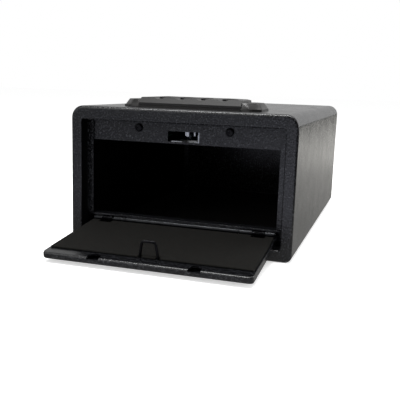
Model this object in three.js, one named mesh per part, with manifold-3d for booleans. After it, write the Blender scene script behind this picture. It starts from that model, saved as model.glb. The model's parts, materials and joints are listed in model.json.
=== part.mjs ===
// A compact steel safe with a four-finger keypad on its top and a sprung door that drops open.
// Millimetres, +X right, +Y back, +Z up. The origin is the centre of the underside of the case.
import * as THREE from 'three';
import { mergeVertices } from 'three/addons/utils/BufferGeometryUtils.js';
import Module from 'manifold-3d';

const wasm = await Module();
wasm.setup();

// Case
const caseWidth = 205;
const caseHeight = 123.5;
const caseDepth = 320;
const steel = 1.5;
const topCornerRadius = 11;
const bottomCornerRadius = 6;
const frontEdgeRadius = 2.5;
const rearRecess = 2;
const rearFlange = 10;
const fitGap = 0.3;

// Opening and the jamb behind it
const bezelSide = 10.2;
const bezelTop = 11.8;
const bezelBottom = 10.4;
const openingRadius = 2;
const recessDepth = 12;
const lipWidth = 5.8;

// Mounting holes in the base and in the top
const mountHoleRadius = 4;
const mountHoleInsetX = 30;
const mountHoleInsetY = 60;
const topHoleRadius = 3.5;
const topHoleInset = 16.5;
const topHoleFromFront = 208;

// Door and hinge
const openAngle = THREE.MathUtils.degToRad(6);
const hingeRise = 9.6;
const doorSweepGap = 0.5;
const doorSideGap = 5;
const doorTopGap = 0.8;
const doorCornerRadius = 4;
const doorEdgeRadius = 2;
const tipFlange = 16;
const hingeFlange = 5.4;
const knuckleRadius = 2.5;
const hingePinRadius = 1.2;
const hingePinGap = 0.15;
const hingeLeaf = 1.2;
const knuckleGap = 0.5;
const centreKnuckle = 107;
const endKnuckle = 8;
const springRoom = 11;
const springWire = 0.45;
const springTurns = 6;
const springLeg = 5;
const linerTop = 0.3;
const linerFromHinge = 3.5;
const linerSideGap = 0.5;
const linerOverFlange = 5.2;
const sillFoot = 10;
const floorPad = 4;

// Striker on the door and the slot that it enters
const strikerX = 1;
const strikerWire = 1.15;
const strikerRootHalf = 7.6;
const strikerTopHalf = 5.6;
const strikerReach = 12;
const strikerBend = 2.6;
const strikerAboveSlot = 3.2;
const slotHalfWidth = 14.5;
const slotHeight = 9.2;
const slotSill = 1.8;

// Lock housing under the ceiling
const headerHeight = 18.7;
const headerSheet = 1.4;
const housingSheet = 1.2;
const housingDepth = 112.7;
const headScrewRadius = 3.8;
const headScrewHeight = 2.2;
const headScrewShank = 1.9;
const headScrewLength = 7;
const headScrewX = 42;
const headScrewBelowOpening = 6;
const hexSocket = 1.45;
const notchShift = 0.9;
const notchGap = 1.4;
const bracketSheet = 2;
const bracketEar = 7;
const bracketDepth = 12;

// Latch
const latchPlate = 1.2;
const hookThickness = 2.4;
const hookX = 3;
const hookPivotBack = 30.5;
const hookPivotRise = 5;
const hookPinRadius = 2;
const chassisBehindHook = 22;
const latchScrewInset = 4;
const latchScrewLead = 2;
const latchScrewEdge = 3;
const latchScrewTrail = 16;
const solenoidBehindHook = 26;
const tailArm = 12;
const armLength = 12;
const latchWire = 0.35;
const linkPinRadius = 1;
const linkPlate = 1.6;
const linkReach = 15;
const solenoidWidth = 17;
const solenoidHeight = 12;
const solenoidLength = 30;
const plungerRadius = 3;

// Key override at the rear
const lockX = -3.5;
const lockBelowTop = 17.5;
const lockBodyRadius = 8;
const lockBodyLength = 24;
const lockFlangeRadius = 10.5;
const lockFlangeHeight = 1.8;
const plugRadius = 5.5;
const plugGap = 0.3;
const keySlotHalfWidth = 0.7;
const keySlotHalfHeight = 3.8;
const lockNutRadius = 11;
const lockNutHeight = 4;
const shaftRadius = 2;
const fingerReach = 10;
const fingerWidth = 3;
const fingerThickness = 2;
const fingerGap = 0.45;
const guideFromFront = 215;

// Keypad on the top
const padFront = 25;
const padDepth = 72;
const wingHalfWidth = 64.6;
const wingWidth = 17.1;
const deckHalfWidth = wingHalfWidth - wingWidth;
const deckRearTaper = 11.5;
const deckRearHalfWidth = deckHalfWidth - deckRearTaper;
const deckHeight = 9.7;
const deckCrestHeight = 9;
const deckFrontWall = 4.1;
const deckSheet = 2;
const padFloor = 2;
const wingFront = 25;
const wingRear = 69;
const wingHeight = 7;
const wingSideWall = 1.8;
const wingSlopeRun = 3.6;
const wingCorner = 7.3;
const keySpacing = 20;
const keyWidth = 7;
const keyLength = 12;
const keyFromDeckFront = 16.5;
const keyProud = 0.9;
const keyGap = 0.4;
const keyTravel = 1.2;
const domeHeight = 0.9;
const ledRadius = 1.5;
const channelRadius = 8.6;
const channelDepth = 1.6;
const channelLength = 36;
const deckWideLength = 40;
const deckRearCorner = 10;
const deckCrestLength = 6;
const deckCrownLength = 38;
const deckPalmLength = 52;
const deckRoofFall = 13.5;
const deckRoofHalf = deckHalfWidth - deckRoofFall;
const deckSideDrop = 0.9;
const sideCutter = 20;
const padBoardInset = 6;
const padBoardRearInset = 30;
const ledFromDeckFront = 38;
const padScrewInset = 11;
const padScrewFront = 14;
const padScrewRear = 12;
const padScrewRadius = 1.5;

// Batteries and boards in the housing
const cellRadius = 7.1;
const cellLength = 50;
const cellCount = 4;
const cellGap = 0.6;
const cellTip = 1.5;
const cellTipRadius = 2.6;
const contactSheet = 0.6;
const traySheet = 1.2;
const boardThickness = 1.6;
const boardWidth = 50;
const boardLength = 62;
const ribbonFromBoardFront = 30;
const ribbonFromEdge = 7.5;
const boardFromHeader = 16;
const trayFromHook = 14;
const processorX = 12;
const processorY = 20;
const processorSide = 14;
const driverX = 40;
const driverY = 9;
const socketX = 9;
const socketY = 48;
const socketWidth = 18;
const buzzerSide = 9;
const standoffHeight = 4;
const standoffRadius = 2.5;
const boardScrewRadius = 1.2;
const leadRadius = 1.1;
const leadTuck = 12;
const leadReach = 14;
const leadSide = 6;
const leadLoop = 18;
const leadStart = 26;
const coilLeadRadius = 0.8;

// Places that follow from the sizes above
const halfWidth = caseWidth / 2;
const ceiling = caseHeight - steel;
const openingHalf = halfWidth - bezelSide;
const openingTop = caseHeight - bezelTop;
const lipBack = recessDepth + steel;
const hingeY = lipBack;
const hingeZ = bezelBottom + hingeRise;
const doorRim = hingeY - recessDepth + fitGap;
const doorOuter = hingeRise * Math.cos(openAngle) - hingeY * Math.sin(openAngle) - fitGap;
const rollRadius = hingeRise - doorSweepGap;
const doorHalf = openingHalf - doorSideGap;
const doorLength = openingTop - doorTopGap - hingeZ;
const sillZ = hingeZ + knuckleRadius + fitGap;
const sillBack = hingeY + rollRadius + 1;
const lipBottom = sillZ + steel + 1;
const headerBottom = openingTop - headerHeight;
const housingFloor = headerBottom + housingSheet;
const sillHalf = halfWidth - steel - fitGap;
const housingHalf = halfWidth - steel - 0.5;
const housingBack = lipBack + housingDepth;
const housingTop = ceiling - fitGap;
const slotBottom = headerBottom + slotSill;
const strikerZ = slotBottom + strikerAboveSlot;
const strikerU = strikerZ - hingeZ;
const headScrewZ = openingTop - headScrewBelowOpening;
const headerBack = lipBack + headerSheet;
const hookY = lipBack + hookPivotBack;
const hookZ = strikerZ + hookPivotRise;
const plungerZ = hookZ + tailArm;
const barY = hingeY + strikerReach;
const lockZ = caseHeight - lockBelowTop;
const rearFace = caseDepth - rearRecess;

const parts = new THREE.Group();
const doorParts = new THREE.Group();

// Solids from three.js geometry
function toSolid(geometry) {
  geometry.deleteAttribute('normal');
  geometry.deleteAttribute('uv');
  const merged = mergeVertices(geometry, 1e-4);
  return new wasm.Manifold(new wasm.Mesh({
    numProp: 3,
    vertProperties: Float32Array.from(merged.attributes.position.array),
    triVerts: Uint32Array.from(merged.index.array),
  }));
}

function toGeometry(solid) {
  const mesh = solid.getMesh();
  const geometry = new THREE.BufferGeometry();
  geometry.setAttribute('position', new THREE.BufferAttribute(mesh.vertProperties, 3));
  geometry.setIndex(new THREE.BufferAttribute(mesh.triVerts, 1));
  geometry.computeVertexNormals();
  return geometry;
}

function join(solids) {
  return solids.reduce((sum, solid) => sum.add(solid));
}

function cut(solid, tools) {
  return tools.reduce((rest, tool) => rest.subtract(tool), solid);
}

function box(x0, x1, y0, y1, z0, z1) {
  const geometry = new THREE.BoxGeometry(x1 - x0, y1 - y0, z1 - z0);
  geometry.translate((x0 + x1) / 2, (y0 + y1) / 2, (z0 + z1) / 2);
  return toSolid(geometry);
}

const turnToAxis = {
  x: new THREE.Matrix4().makeRotationZ(-Math.PI / 2),
  y: new THREE.Matrix4(),
  z: new THREE.Matrix4().makeRotationX(Math.PI / 2),
};

// A cylinder whose length runs from start to end along one axis; at holds the other two places
function rod(axis, radius, start, end, at, sides = 20, endRadius = radius) {
  const geometry = new THREE.CylinderGeometry(endRadius, radius, end - start, sides);
  geometry.applyMatrix4(turnToAxis[axis]);
  const middle = (start + end) / 2;
  const place = { x: [middle, at[0], at[1]], y: [at[0], middle, at[1]], z: [at[0], at[1], middle] };
  geometry.translate(...place[axis]);
  return toSolid(geometry);
}

// A shape drawn in X and Y, standing from z0 to z1
function prismZ(shape, z0, z1, curveSegments = 6) {
  const geometry = new THREE.ExtrudeGeometry(shape, { depth: z1 - z0, bevelEnabled: false, curveSegments });
  geometry.translate(0, 0, z0);
  return toSolid(geometry);
}

// A shape drawn in Y and Z, running from x0 to x1
const sideways = new THREE.Matrix4().makeBasis(
  new THREE.Vector3(0, 1, 0), new THREE.Vector3(0, 0, 1), new THREE.Vector3(1, 0, 0));

function prismX(shape, x0, x1, curveSegments = 8) {
  const geometry = new THREE.ExtrudeGeometry(shape, { depth: x1 - x0, bevelEnabled: false, curveSegments });
  geometry.applyMatrix4(sideways);
  geometry.translate(x0, 0, 0);
  return toSolid(geometry);
}

// A shape drawn in X and Z, running from y0 to y1
function prismY(shape, y0, y1, curveSegments = 8) {
  const geometry = new THREE.ExtrudeGeometry(shape, { depth: y1 - y0, bevelEnabled: false, curveSegments });
  geometry.applyMatrix4(turnToAxis.z);
  geometry.translate(0, y1, 0);
  return toSolid(geometry);
}

function outline(points) {
  return new THREE.Shape(points.map(([a, b]) => new THREE.Vector2(a, b)));
}

// An upright rectangle with its own radius for the lower and the upper corners
function roundedFrame(half, bottom, top, lowRadius, highRadius) {
  const shape = new THREE.Shape();
  shape.moveTo(-half + lowRadius, bottom);
  shape.lineTo(half - lowRadius, bottom);
  shape.absarc(half - lowRadius, bottom + lowRadius, lowRadius, -Math.PI / 2, 0);
  shape.lineTo(half, top - highRadius);
  shape.absarc(half - highRadius, top - highRadius, highRadius, 0, Math.PI / 2);
  shape.lineTo(-half + highRadius, top);
  shape.absarc(-half + highRadius, top - highRadius, highRadius, Math.PI / 2, Math.PI);
  shape.lineTo(-half, bottom + lowRadius);
  shape.absarc(-half + lowRadius, bottom + lowRadius, lowRadius, Math.PI, Math.PI * 1.5);
  return shape;
}

// The case outline, drawn in from its outer face
function caseOutline(inset) {
  return roundedFrame(halfWidth - inset, inset, caseHeight - inset,
    bottomCornerRadius - inset, topCornerRadius - inset);
}

// Finishes
const finishes = {
  powder: { color: 0x26282b, roughness: 0.62, metalness: 0.2 },
  plastic: { color: 0x2a2826, roughness: 0.55, metalness: 0 },
  rubber: { color: 0x101010, roughness: 0.8, metalness: 0 },
  foam: { color: 0x1c1b19, roughness: 0.95, metalness: 0 },
  zinc: { color: 0xc9ccd0, roughness: 0.32, metalness: 0.9 },
  blackOxide: { color: 0x141517, roughness: 0.4, metalness: 0.7 },
  spring: { color: 0x8d9094, roughness: 0.35, metalness: 0.9 },
  copper: { color: 0x9c5a2c, roughness: 0.4, metalness: 0.8 },
  board: { color: 0x14452b, roughness: 0.5, metalness: 0 },
  cell: { color: 0x3b4046, roughness: 0.4, metalness: 0.3 },
  wire: { color: 0x202124, roughness: 0.6, metalness: 0 },
  chrome: { color: 0xd5d8dc, roughness: 0.15, metalness: 1 },
  lens: { color: 0x7a1512, roughness: 0.2, metalness: 0 },
};

function add(name, solid, finish, group = parts) {
  const mesh = new THREE.Mesh(toGeometry(solid), new THREE.MeshStandardMaterial(finishes[finish]));
  mesh.name = name;
  group.add(mesh);
}

function mirrored(makeOne) {
  return [-1, 1].map((side) => makeOne(side));
}

// Case: a wrapped tube whose front edge is rounded into the bezel
function outerCase() {
  const geometry = new THREE.ExtrudeGeometry(caseOutline(0), {
    depth: caseDepth - frontEdgeRadius,
    bevelThickness: frontEdgeRadius,
    bevelSize: frontEdgeRadius,
    bevelOffset: -frontEdgeRadius,
    bevelSegments: 4,
    curveSegments: 8,
  });
  geometry.applyMatrix4(turnToAxis.z);
  geometry.translate(0, caseDepth, 0);
  const flipped = toSolid(geometry);
  const tube = flipped.subtract(box(-caseWidth, caseWidth, caseDepth, caseDepth * 1.1, -1, caseHeight + 1));
  const hollow = prismY(caseOutline(steel), steel, caseDepth + 1);
  const opening = prismY(roundedFrame(openingHalf, bezelBottom, openingTop, openingRadius, openingRadius),
    -1, steel + 1, 4);
  const baseHoles = mirrored((side) => [mountHoleInsetY, caseDepth - mountHoleInsetY].map((y) =>
    rod('z', mountHoleRadius, -1, steel + 1, [side * (halfWidth - mountHoleInsetX), y]))).flat();
  const topHoles = mirrored((side) =>
    rod('z', topHoleRadius, ceiling - 1, caseHeight + 1, [side * (halfWidth - topHoleInset), topHoleFromFront], 16));
  const screwHoles = padScrews().map(([x, y]) =>
    rod('z', padScrewRadius + fitGap, ceiling - 1, caseHeight + 1, [x, y], 12));
  const cableHole = box(ribbonX - ribbonHalf - 1, ribbonX + ribbonHalf + 1, ribbonY - 2, ribbonY + 2,
    ceiling - 1, caseHeight + 1);
  return cut(tube, [hollow, opening, ...baseHoles, ...topHoles, ...screwHoles, cableHole]);
}

function rearPanel() {
  const inset = steel + fitGap;
  const plate = prismY(caseOutline(inset), rearFace - rearFlange, rearFace, 6);
  const inside = prismY(caseOutline(inset + steel), rearFace - rearFlange - 1, rearFace - steel, 6);
  const lockHole = rod('y', lockBodyRadius + fitGap, rearFace - steel - 1, rearFace + 1, [lockX, lockZ], 24);
  return cut(plate, [inside, lockHole]);
}

function jambFrame() {
  const outer = roundedFrame(openingHalf + steel, bezelBottom - steel, openingTop + steel,
    openingRadius + steel, openingRadius + steel);
  const inner = roundedFrame(openingHalf, bezelBottom, openingTop, openingRadius, openingRadius);
  const ring = prismY(outer, steel, lipBack, 4).subtract(prismY(inner, steel - 1, lipBack + 1, 4));
  const lips = mirrored((side) => {
    const edges = [side * (openingHalf - lipWidth), side * (openingHalf + steel / 2)].sort((a, b) => a - b);
    return box(edges[0], edges[1], recessDepth, lipBack, lipBottom, openingTop + steel / 2);
  });
  return join([ring, ...lips]);
}

function hingeSill() {
  const shape = outline([
    [hingeY + fitGap, sillZ], [sillBack, sillZ], [sillBack, steel], [sillBack + steel + sillFoot, steel],
    [sillBack + steel + sillFoot, steel * 2], [sillBack + steel, steel * 2],
    [sillBack + steel, sillZ + steel], [hingeY + fitGap, sillZ + steel],
  ]);
  const inside = prismY(roundedFrame(sillHalf, steel, ceiling, bottomCornerRadius - steel, 1), 0, caseDepth);
  return prismX(shape, -sillHalf, sillHalf).intersect(inside);
}

function floorLiner() {
  const front = sillBack + steel + sillFoot + 1;
  const half = halfWidth - bottomCornerRadius - 0.5;
  return box(-half, half, front, rearFace - rearFlange - 2, steel, steel + floorPad);
}

// Hinge: knuckles of the case, knuckles of the door, and room for a spring beside each end knuckle
const hingeHalf = openingHalf - lipWidth - 1.3;
const endKnuckleStart = hingeHalf - endKnuckle;
const springStart = endKnuckleStart - springRoom;
const centreHalf = centreKnuckle / 2;
const bodyKnuckles = [[-hingeHalf, -endKnuckleStart], [-centreHalf, centreHalf], [endKnuckleStart, hingeHalf]];
const doorKnuckles = mirrored((side) =>
  [side * (centreHalf + knuckleGap), side * (springStart - knuckleGap)].sort((a, b) => a - b));

function knuckles(spans, at) {
  return spans.map(([x0, x1]) => rod('x', knuckleRadius, x0, x1, at, 20));
}

function bodyHingeLeaf() {
  const z0 = sillZ - hingeLeaf;
  const back = sillBack - 1;
  const rail = box(-hingeHalf, hingeHalf, back - 3, back, z0, sillZ);
  const tabs = bodyKnuckles.map(([x0, x1]) => box(x0, x1, hingeY, back - 2, z0, sillZ));
  const bore = rod('x', hingePinRadius + hingePinGap, -hingeHalf - 1, hingeHalf + 1, [hingeY, hingeZ], 16);
  return join([rail, ...tabs, ...knuckles(bodyKnuckles, [hingeY, hingeZ])]).subtract(bore);
}

function doorHingeLeaf() {
  const z1 = -doorRim + fitGap + hingeLeaf;
  const back = knuckleRadius + fitGap + hingeFlange - 1;
  const rail = box(-hingeHalf, hingeHalf, back - 3.5, back, z1 - hingeLeaf, z1);
  const tabs = doorKnuckles.map(([x0, x1]) => box(x0, x1, 0, back - 2, z1 - hingeLeaf, z1));
  const bore = rod('x', hingePinRadius + hingePinGap, -hingeHalf - 1, hingeHalf + 1, [0, 0], 16);
  return join([rail, ...tabs, ...knuckles(doorKnuckles, [0, 0])]).subtract(bore);
}

// A torsion spring round the hinge pin: one leg back under the sill, one leg forward on the liner
class TorsionPath extends THREE.Curve {
  constructor(radius, x0, x1, turns, at, leg) {
    super();
    Object.assign(this, { radius, x0, x1, turns, at, leg });
    const arc = 2 * Math.PI * radius * (turns + 0.5);
    this.legShare = leg / (arc + 2 * leg);
  }

  getPoint(t, target = new THREE.Vector3()) {
    const { radius, x0, x1, turns, at, leg, legShare } = this;
    if (t < legShare) {
      return target.set(x0, at[0] + leg * (1 - t / legShare), at[1] + radius);
    }
    if (t > 1 - legShare) {
      return target.set(x1, at[0] - leg * (1 - (1 - t) / legShare), at[1] - radius);
    }
    const part = (t - legShare) / (1 - 2 * legShare);
    const angle = Math.PI / 2 + part * (turns + 0.5) * 2 * Math.PI;
    return target.set(x0 + (x1 - x0) * part, at[0] + radius * Math.cos(angle), at[1] + radius * Math.sin(angle));
  }
}

function wireSection(radius, sides) {
  const points = Array.from({ length: sides }, (_, i) => {
    const angle = (i / sides) * 2 * Math.PI;
    return new THREE.Vector2(radius * Math.cos(angle), radius * Math.sin(angle));
  });
  return new THREE.Shape(points);
}

function alongPath(path, radius, sides, steps) {
  const geometry = new THREE.ExtrudeGeometry(wireSection(radius, sides), { steps, extrudePath: path });
  return toSolid(geometry);
}

function leastTurnGap(path, radius, turns) {
  const count = turns * 24;
  const points = Array.from({ length: count + 1 }, (_, i) => path.getPoint(i / count));
  let least = Infinity;
  points.forEach((point, i) => {
    for (let j = i + 16; j <= count; j += 1) {
      least = Math.min(least, point.distanceTo(points[j]));
    }
  });
  return least - 2 * radius;
}

function doorSpring(side) {
  const inner = springStart + knuckleGap + springWire;
  const outer = endKnuckleStart - knuckleGap - springWire;
  const path = new TorsionPath(knuckleRadius - springWire, side * outer, side * inner, springTurns,
    [hingeY, hingeZ], springLeg);
  if (side > 0) {
    console.log(`least gap in a door spring ${leastTurnGap(path, springWire, springTurns).toFixed(2)} mm`);
  }
  return alongPath(path, springWire, 5, (springTurns + 2) * 8);
}

// Door, in its own frame: hinge axis at the origin, the door reaches along -Y, its inner side is up
function doorOutline(inset, top) {
  const radius = rollRadius - inset;
  const low = -doorOuter + inset;
  const start = Math.asin(low / radius);
  const end = Math.asin(-doorRim / radius);
  const tip = -doorLength + inset;
  const edge = Math.max(doorEdgeRadius - inset, 0.2);
  const shape = new THREE.Shape();
  shape.moveTo(tip, top);
  shape.lineTo(tip, low + edge);
  shape.absarc(tip + edge, low + edge, edge, Math.PI, Math.PI * 1.5);
  shape.lineTo(radius * Math.cos(start), low);
  shape.absarc(0, 0, radius, start, end);
  shape.lineTo(radius * Math.cos(end), top);
  return shape;
}

function doorPlan(inset) {
  const half = doorHalf - inset;
  const radius = Math.max(doorCornerRadius - inset, 0.5);
  const shape = new THREE.Shape();
  shape.moveTo(half, rollRadius + 1);
  shape.lineTo(-half, rollRadius + 1);
  shape.lineTo(-half, -doorLength + inset + radius);
  shape.absarc(-half + radius, -doorLength + inset + radius, radius, Math.PI, Math.PI * 1.5);
  shape.lineTo(half - radius, -doorLength + inset);
  shape.absarc(half - radius, -doorLength + inset + radius, radius, Math.PI * 1.5, Math.PI * 2);
  return shape;
}

function doorPan() {
  const block = prismX(doorOutline(0, -doorRim), -doorHalf, doorHalf, 10)
    .intersect(prismZ(doorPlan(0), -doorOuter - 1, 0, 5));
  const hollow = prismX(doorOutline(steel, 1), -doorHalf + steel, doorHalf - steel, 10)
    .intersect(prismZ(doorPlan(steel), -doorOuter - 1, 2, 5));
  const flangeTop = -doorRim;
  const flangeEdge = -doorLength + tipFlange;
  const tip = box(-doorHalf + steel / 2, doorHalf - steel / 2, -doorLength + steel / 2, flangeEdge,
    flangeTop - steel, flangeTop).intersect(prismZ(doorPlan(steel / 2), -doorOuter, 0, 5));
  const backFlange = box(-doorHalf + steel / 2, doorHalf - steel / 2, knuckleRadius + fitGap * 2,
    knuckleRadius + hingeFlange + fitGap, flangeTop - steel, flangeTop);
  const notches = mirrored((side) => {
    const x = side * headScrewX;
    const reach = headScrewZ - hingeZ + notchShift;
    const radius = headScrewRadius + notchGap;
    const low = flangeTop - steel - fitGap;
    return join([
      rod('z', radius, low, 1, [x, -reach], 20),
      box(x - radius, x + radius, -doorLength - 1, -reach, low, 1),
    ]);
  });
  const legHoles = mirrored((side) =>
    rod('z', strikerWire + fitGap, flangeTop - steel - 1, flangeTop + 1,
      [strikerX + side * strikerRootHalf, -strikerU], 12));
  return cut(join([block.subtract(hollow), tip, backFlange]), [...notches, ...legHoles]);
}

function doorLiner() {
  const wide = doorHalf - steel - fitGap;
  const half = Math.min(openingHalf - lipWidth - linerSideGap, wide);
  const front = -doorLength + tipFlange + fitGap;
  const low = -doorOuter + steel + fitGap;
  const pad = box(-half, half, front, -linerFromHinge, low, -linerTop)
    .add(box(-wide, wide, front, -linerFromHinge, low, -doorRim))
    .add(box(-half, half, front - linerOverFlange, -linerFromHinge, -doorRim, -linerTop));
  const springNotches = mirrored((side) => {
    const edges = [side * (springStart - 0.5), side * (endKnuckleStart + 0.5)].sort((a, b) => a - b);
    return box(edges[0], edges[1], -linerFromHinge - springLeg, 0, -knuckleRadius - 3 * fitGap, 1);
  });
  const legNotches = mirrored((side) => {
    const x = strikerX + side * strikerRootHalf;
    const room = strikerWire + fitGap;
    return box(x - room, x + room, front - linerOverFlange - 1, -strikerU + room, -doorRim - 1, 1);
  });
  return cut(pad, [...springNotches, ...legNotches]);
}

function strikerLoop() {
  const top = strikerReach;
  const root = -doorRim - steel - 1;
  const slope = (strikerRootHalf - strikerTopHalf) / (top - strikerBend);
  const path = new THREE.CurvePath();
  const corner = (side) => new THREE.Vector3(strikerX + side * strikerTopHalf, -strikerU, top);
  const foot = (side) => new THREE.Vector3(strikerX + side * strikerRootHalf, -strikerU, root);
  const knee = (side) => new THREE.Vector3(strikerX + side * strikerRootHalf, -strikerU, -doorRim + 2);
  const below = (side) =>
    new THREE.Vector3(strikerX + side * (strikerTopHalf + slope * strikerBend), -strikerU, top - strikerBend);
  const beside = (side) => new THREE.Vector3(strikerX + side * (strikerTopHalf - strikerBend), -strikerU, top);
  path.add(new THREE.LineCurve3(foot(-1), knee(-1)));
  path.add(new THREE.LineCurve3(knee(-1), below(-1)));
  path.add(new THREE.QuadraticBezierCurve3(below(-1), corner(-1), beside(-1)));
  path.add(new THREE.LineCurve3(beside(-1), beside(1)));
  path.add(new THREE.QuadraticBezierCurve3(beside(1), corner(1), below(1)));
  path.add(new THREE.LineCurve3(below(1), knee(1)));
  path.add(new THREE.LineCurve3(knee(1), foot(1)));
  return alongPath(path, strikerWire, 10, 44);
}

// Lock housing: header plate, floor, sides and back of one folded tray
function lockHousing() {
  const front = box(-housingHalf, housingHalf, lipBack, headerBack, headerBottom, housingTop);
  const floor = box(-housingHalf, housingHalf, lipBack, housingBack, headerBottom, housingFloor);
  const back = box(-housingHalf, housingHalf, housingBack - housingSheet, housingBack, headerBottom, housingTop);
  const sides = mirrored((side) => {
    const edges = [side * (housingHalf - housingSheet), side * housingHalf].sort((a, b) => a - b);
    return box(edges[0], edges[1], lipBack, housingBack, headerBottom, housingTop);
  });
  const slot = box(-slotHalfWidth, slotHalfWidth, lipBack - 1, headerBack + 1,
    slotBottom, slotBottom + slotHeight);
  const screwHoles = mirrored((side) =>
    rod('y', headScrewShank + fitGap, lipBack - 1, headerBack + 1, [side * headScrewX, headScrewZ], 16));
  const shaftHole = rod('y', shaftRadius + 0.5, housingBack - 2, housingBack + 1, [lockX, lockZ], 16);
  const hatch = box(tray.x0 + 2, tray.x1 - 2, tray.y0 + 2, tray.y1 - 2, headerBottom - 1, housingFloor + 1);
  const chassisHoles = latchScrewPlaces().map(([x, y]) =>
    rod('z', 1.2 + fitGap, headerBottom - 1, housingFloor + 1, [x, y], 10));
  const folded = join([front, floor, back, ...sides, ...boardStandoffs()])
    .intersect(prismY(caseOutline(steel + fitGap), 0, caseDepth));
  return cut(folded, [slot, ...screwHoles, shaftHole, hatch, ...chassisHoles]);
}

function headerScrew(side) {
  const at = [side * headScrewX, headScrewZ];
  const face = lipBack - headScrewHeight;
  const step = face + headScrewHeight * 0.45;
  const head = rod('y', headScrewRadius * 0.62, face, step, at, 20, headScrewRadius * 0.93);
  const skirt = rod('y', headScrewRadius * 0.93, step, lipBack, at, 20, headScrewRadius);
  const shank = rod('y', headScrewShank, lipBack - 0.5, lipBack + headScrewLength, at, 14);
  const socket = rod('y', hexSocket, face - 1, face + 1.3, at, 6);
  return join([head, skirt, shank]).subtract(socket);
}

// A bracket welded under the ceiling; its two ears take the header screws
function headerBracket() {
  const y0 = headerBack + fitGap;
  const half = headScrewX + bracketEar;
  const strip = box(-half, half, y0, y0 + bracketDepth, ceiling - bracketSheet, ceiling);
  const ears = mirrored((side) => {
    const x = side * headScrewX;
    return box(x - bracketEar, x + bracketEar, y0, y0 + bracketSheet, headScrewZ - 6, ceiling);
  });
  const holes = mirrored((side) => rod('y', headScrewShank + fitGap / 2, y0 - 1, y0 + bracketSheet + 1,
    [side * headScrewX, headScrewZ], 14));
  return cut(join([strip, ...ears]), holes);
}

// Latch: zinc chassis, hook, pivot pin, spring, link and solenoid
const chassisX0 = -12;
const chassisFront = headerBack + fitGap;
const chassisBack = hookY + chassisBehindHook;
const mouthTop = strikerZ + strikerWire + 1.2;
const cheekX = [hookX - hookThickness / 2 - fitGap - latchPlate, hookX + hookThickness / 2 + 4.2];
const cheekBack = hookY + 6.5;

function latchScrewPlaces() {
  return [[chassisX0 + latchScrewInset, hookY - latchScrewLead], [slotHalfWidth - latchScrewEdge, hookY + latchScrewTrail]];
}

function latchChassis() {
  const base = box(chassisX0, slotHalfWidth, chassisFront, chassisBack, housingFloor, housingFloor + latchPlate);
  const bay = box(-1.8, cheekX[1] + latchPlate, chassisFront - 1, barY + 3.5, housingFloor - 1,
    housingFloor + latchPlate + 1);
  const wall = box(slotHalfWidth - latchPlate, slotHalfWidth, chassisFront, chassisBack - 4,
    housingFloor, hookZ + 3.5);
  const cheeks = cheekX.map((x) => {
    const upper = box(x, x + latchPlate, chassisFront + 2.5, cheekBack, mouthTop, hookZ + 3.5);
    const lower = box(x, x + latchPlate, barY + 3.5, cheekBack, housingFloor, mouthTop + 1);
    return upper.add(lower);
  });
  const bore = rod('x', hookPinRadius + fitGap / 2, 0, slotHalfWidth + 1, [hookY, hookZ], 16);
  const holes = latchScrewPlaces().map(([x, y]) =>
    rod('z', 1.2 + fitGap, housingFloor - 1, housingFloor + latchPlate + 1, [x, y], 10));
  return cut(join([base.subtract(bay), wall, ...cheeks]), [bore, ...holes]);
}

function latchScrew(at) {
  const head = rod('z', 2.4, headerBottom - 1.4, headerBottom, at, 14);
  const shank = rod('z', 1.2, headerBottom - 0.5, housingFloor + latchPlate + 1.5, at, 10);
  return head.add(shank);
}

function latchHook() {
  const face = barY - strikerWire - 0.5;
  const bottom = strikerZ - strikerWire - 1;
  const roof = strikerZ + strikerWire + 0.9;
  const armTop = lockZ - fingerWidth / 2 - fingerGap;
  const armBottom = hookZ - hookPinRadius - 1.6;
  const crest = hookZ + hookPinRadius + 0.6;
  const tailTop = plungerZ + linkPinRadius + 2.4;
  const front = chassisFront + 1.2;
  const shape = outline([
    [front, crest - 1], [front, strikerZ + 1.8], [face - 1.8, bottom], [face, bottom], [face, roof],
    [hookY - 6, roof], [hookY - 5, armBottom], [hookY + armLength, armBottom], [hookY + armLength, armTop],
    [hookY + 5, armTop], [hookY + 2.8, crest + 3], [hookY + 2.8, tailTop], [hookY - 2.8, tailTop],
    [hookY - 2.8, crest + 3], [hookY - 8, crest], [front + 1, crest],
  ]);
  const plate = prismX(shape, hookX - hookThickness / 2, hookX + hookThickness / 2);
  const bore = rod('x', hookPinRadius + fitGap, 0, slotHalfWidth, [hookY, hookZ], 16);
  const slotHalf = linkPinRadius + 0.5;
  const slot = box(0, slotHalfWidth, hookY - slotHalf, hookY + slotHalf,
    plungerZ - linkPinRadius - 0.4, plungerZ + linkPinRadius + 0.8);
  return cut(plate, [bore, slot]);
}

function latchPivotPin() {
  const shank = rod('x', hookPinRadius, cheekX[0] - 0.7, slotHalfWidth + 0.3, [hookY, hookZ], 16);
  const head = rod('x', hookPinRadius + 1, slotHalfWidth + 0.2, slotHalfWidth + 1.4, [hookY, hookZ], 16);
  return shank.add(head);
}

// A torsion spring on the pivot pin presses the hook down
function latchSpring() {
  const hookSide = hookX + hookThickness / 2 + fitGap + latchWire;
  const path = new TorsionPath(hookPinRadius + 1, cheekX[1] - fitGap - latchWire, hookSide, 2, [hookY, hookZ], 4);
  return alongPath(path, latchWire, 5, 32);
}

const plungerX = hookX + hookThickness / 2 + fitGap + linkPlate / 2 + 0.2;
const solenoidFront = hookY + solenoidBehindHook;

function plungerLink() {
  const x0 = hookX + hookThickness / 2 + fitGap;
  const blade = box(x0, x0 + linkPlate, hookY - 3, hookY + linkReach, plungerZ - 2, plungerZ + 2);
  const pin = rod('x', linkPinRadius, hookX - hookThickness / 2 - 0.4, x0 + linkPlate / 2, [hookY, plungerZ], 12);
  return blade.add(pin);
}

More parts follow.
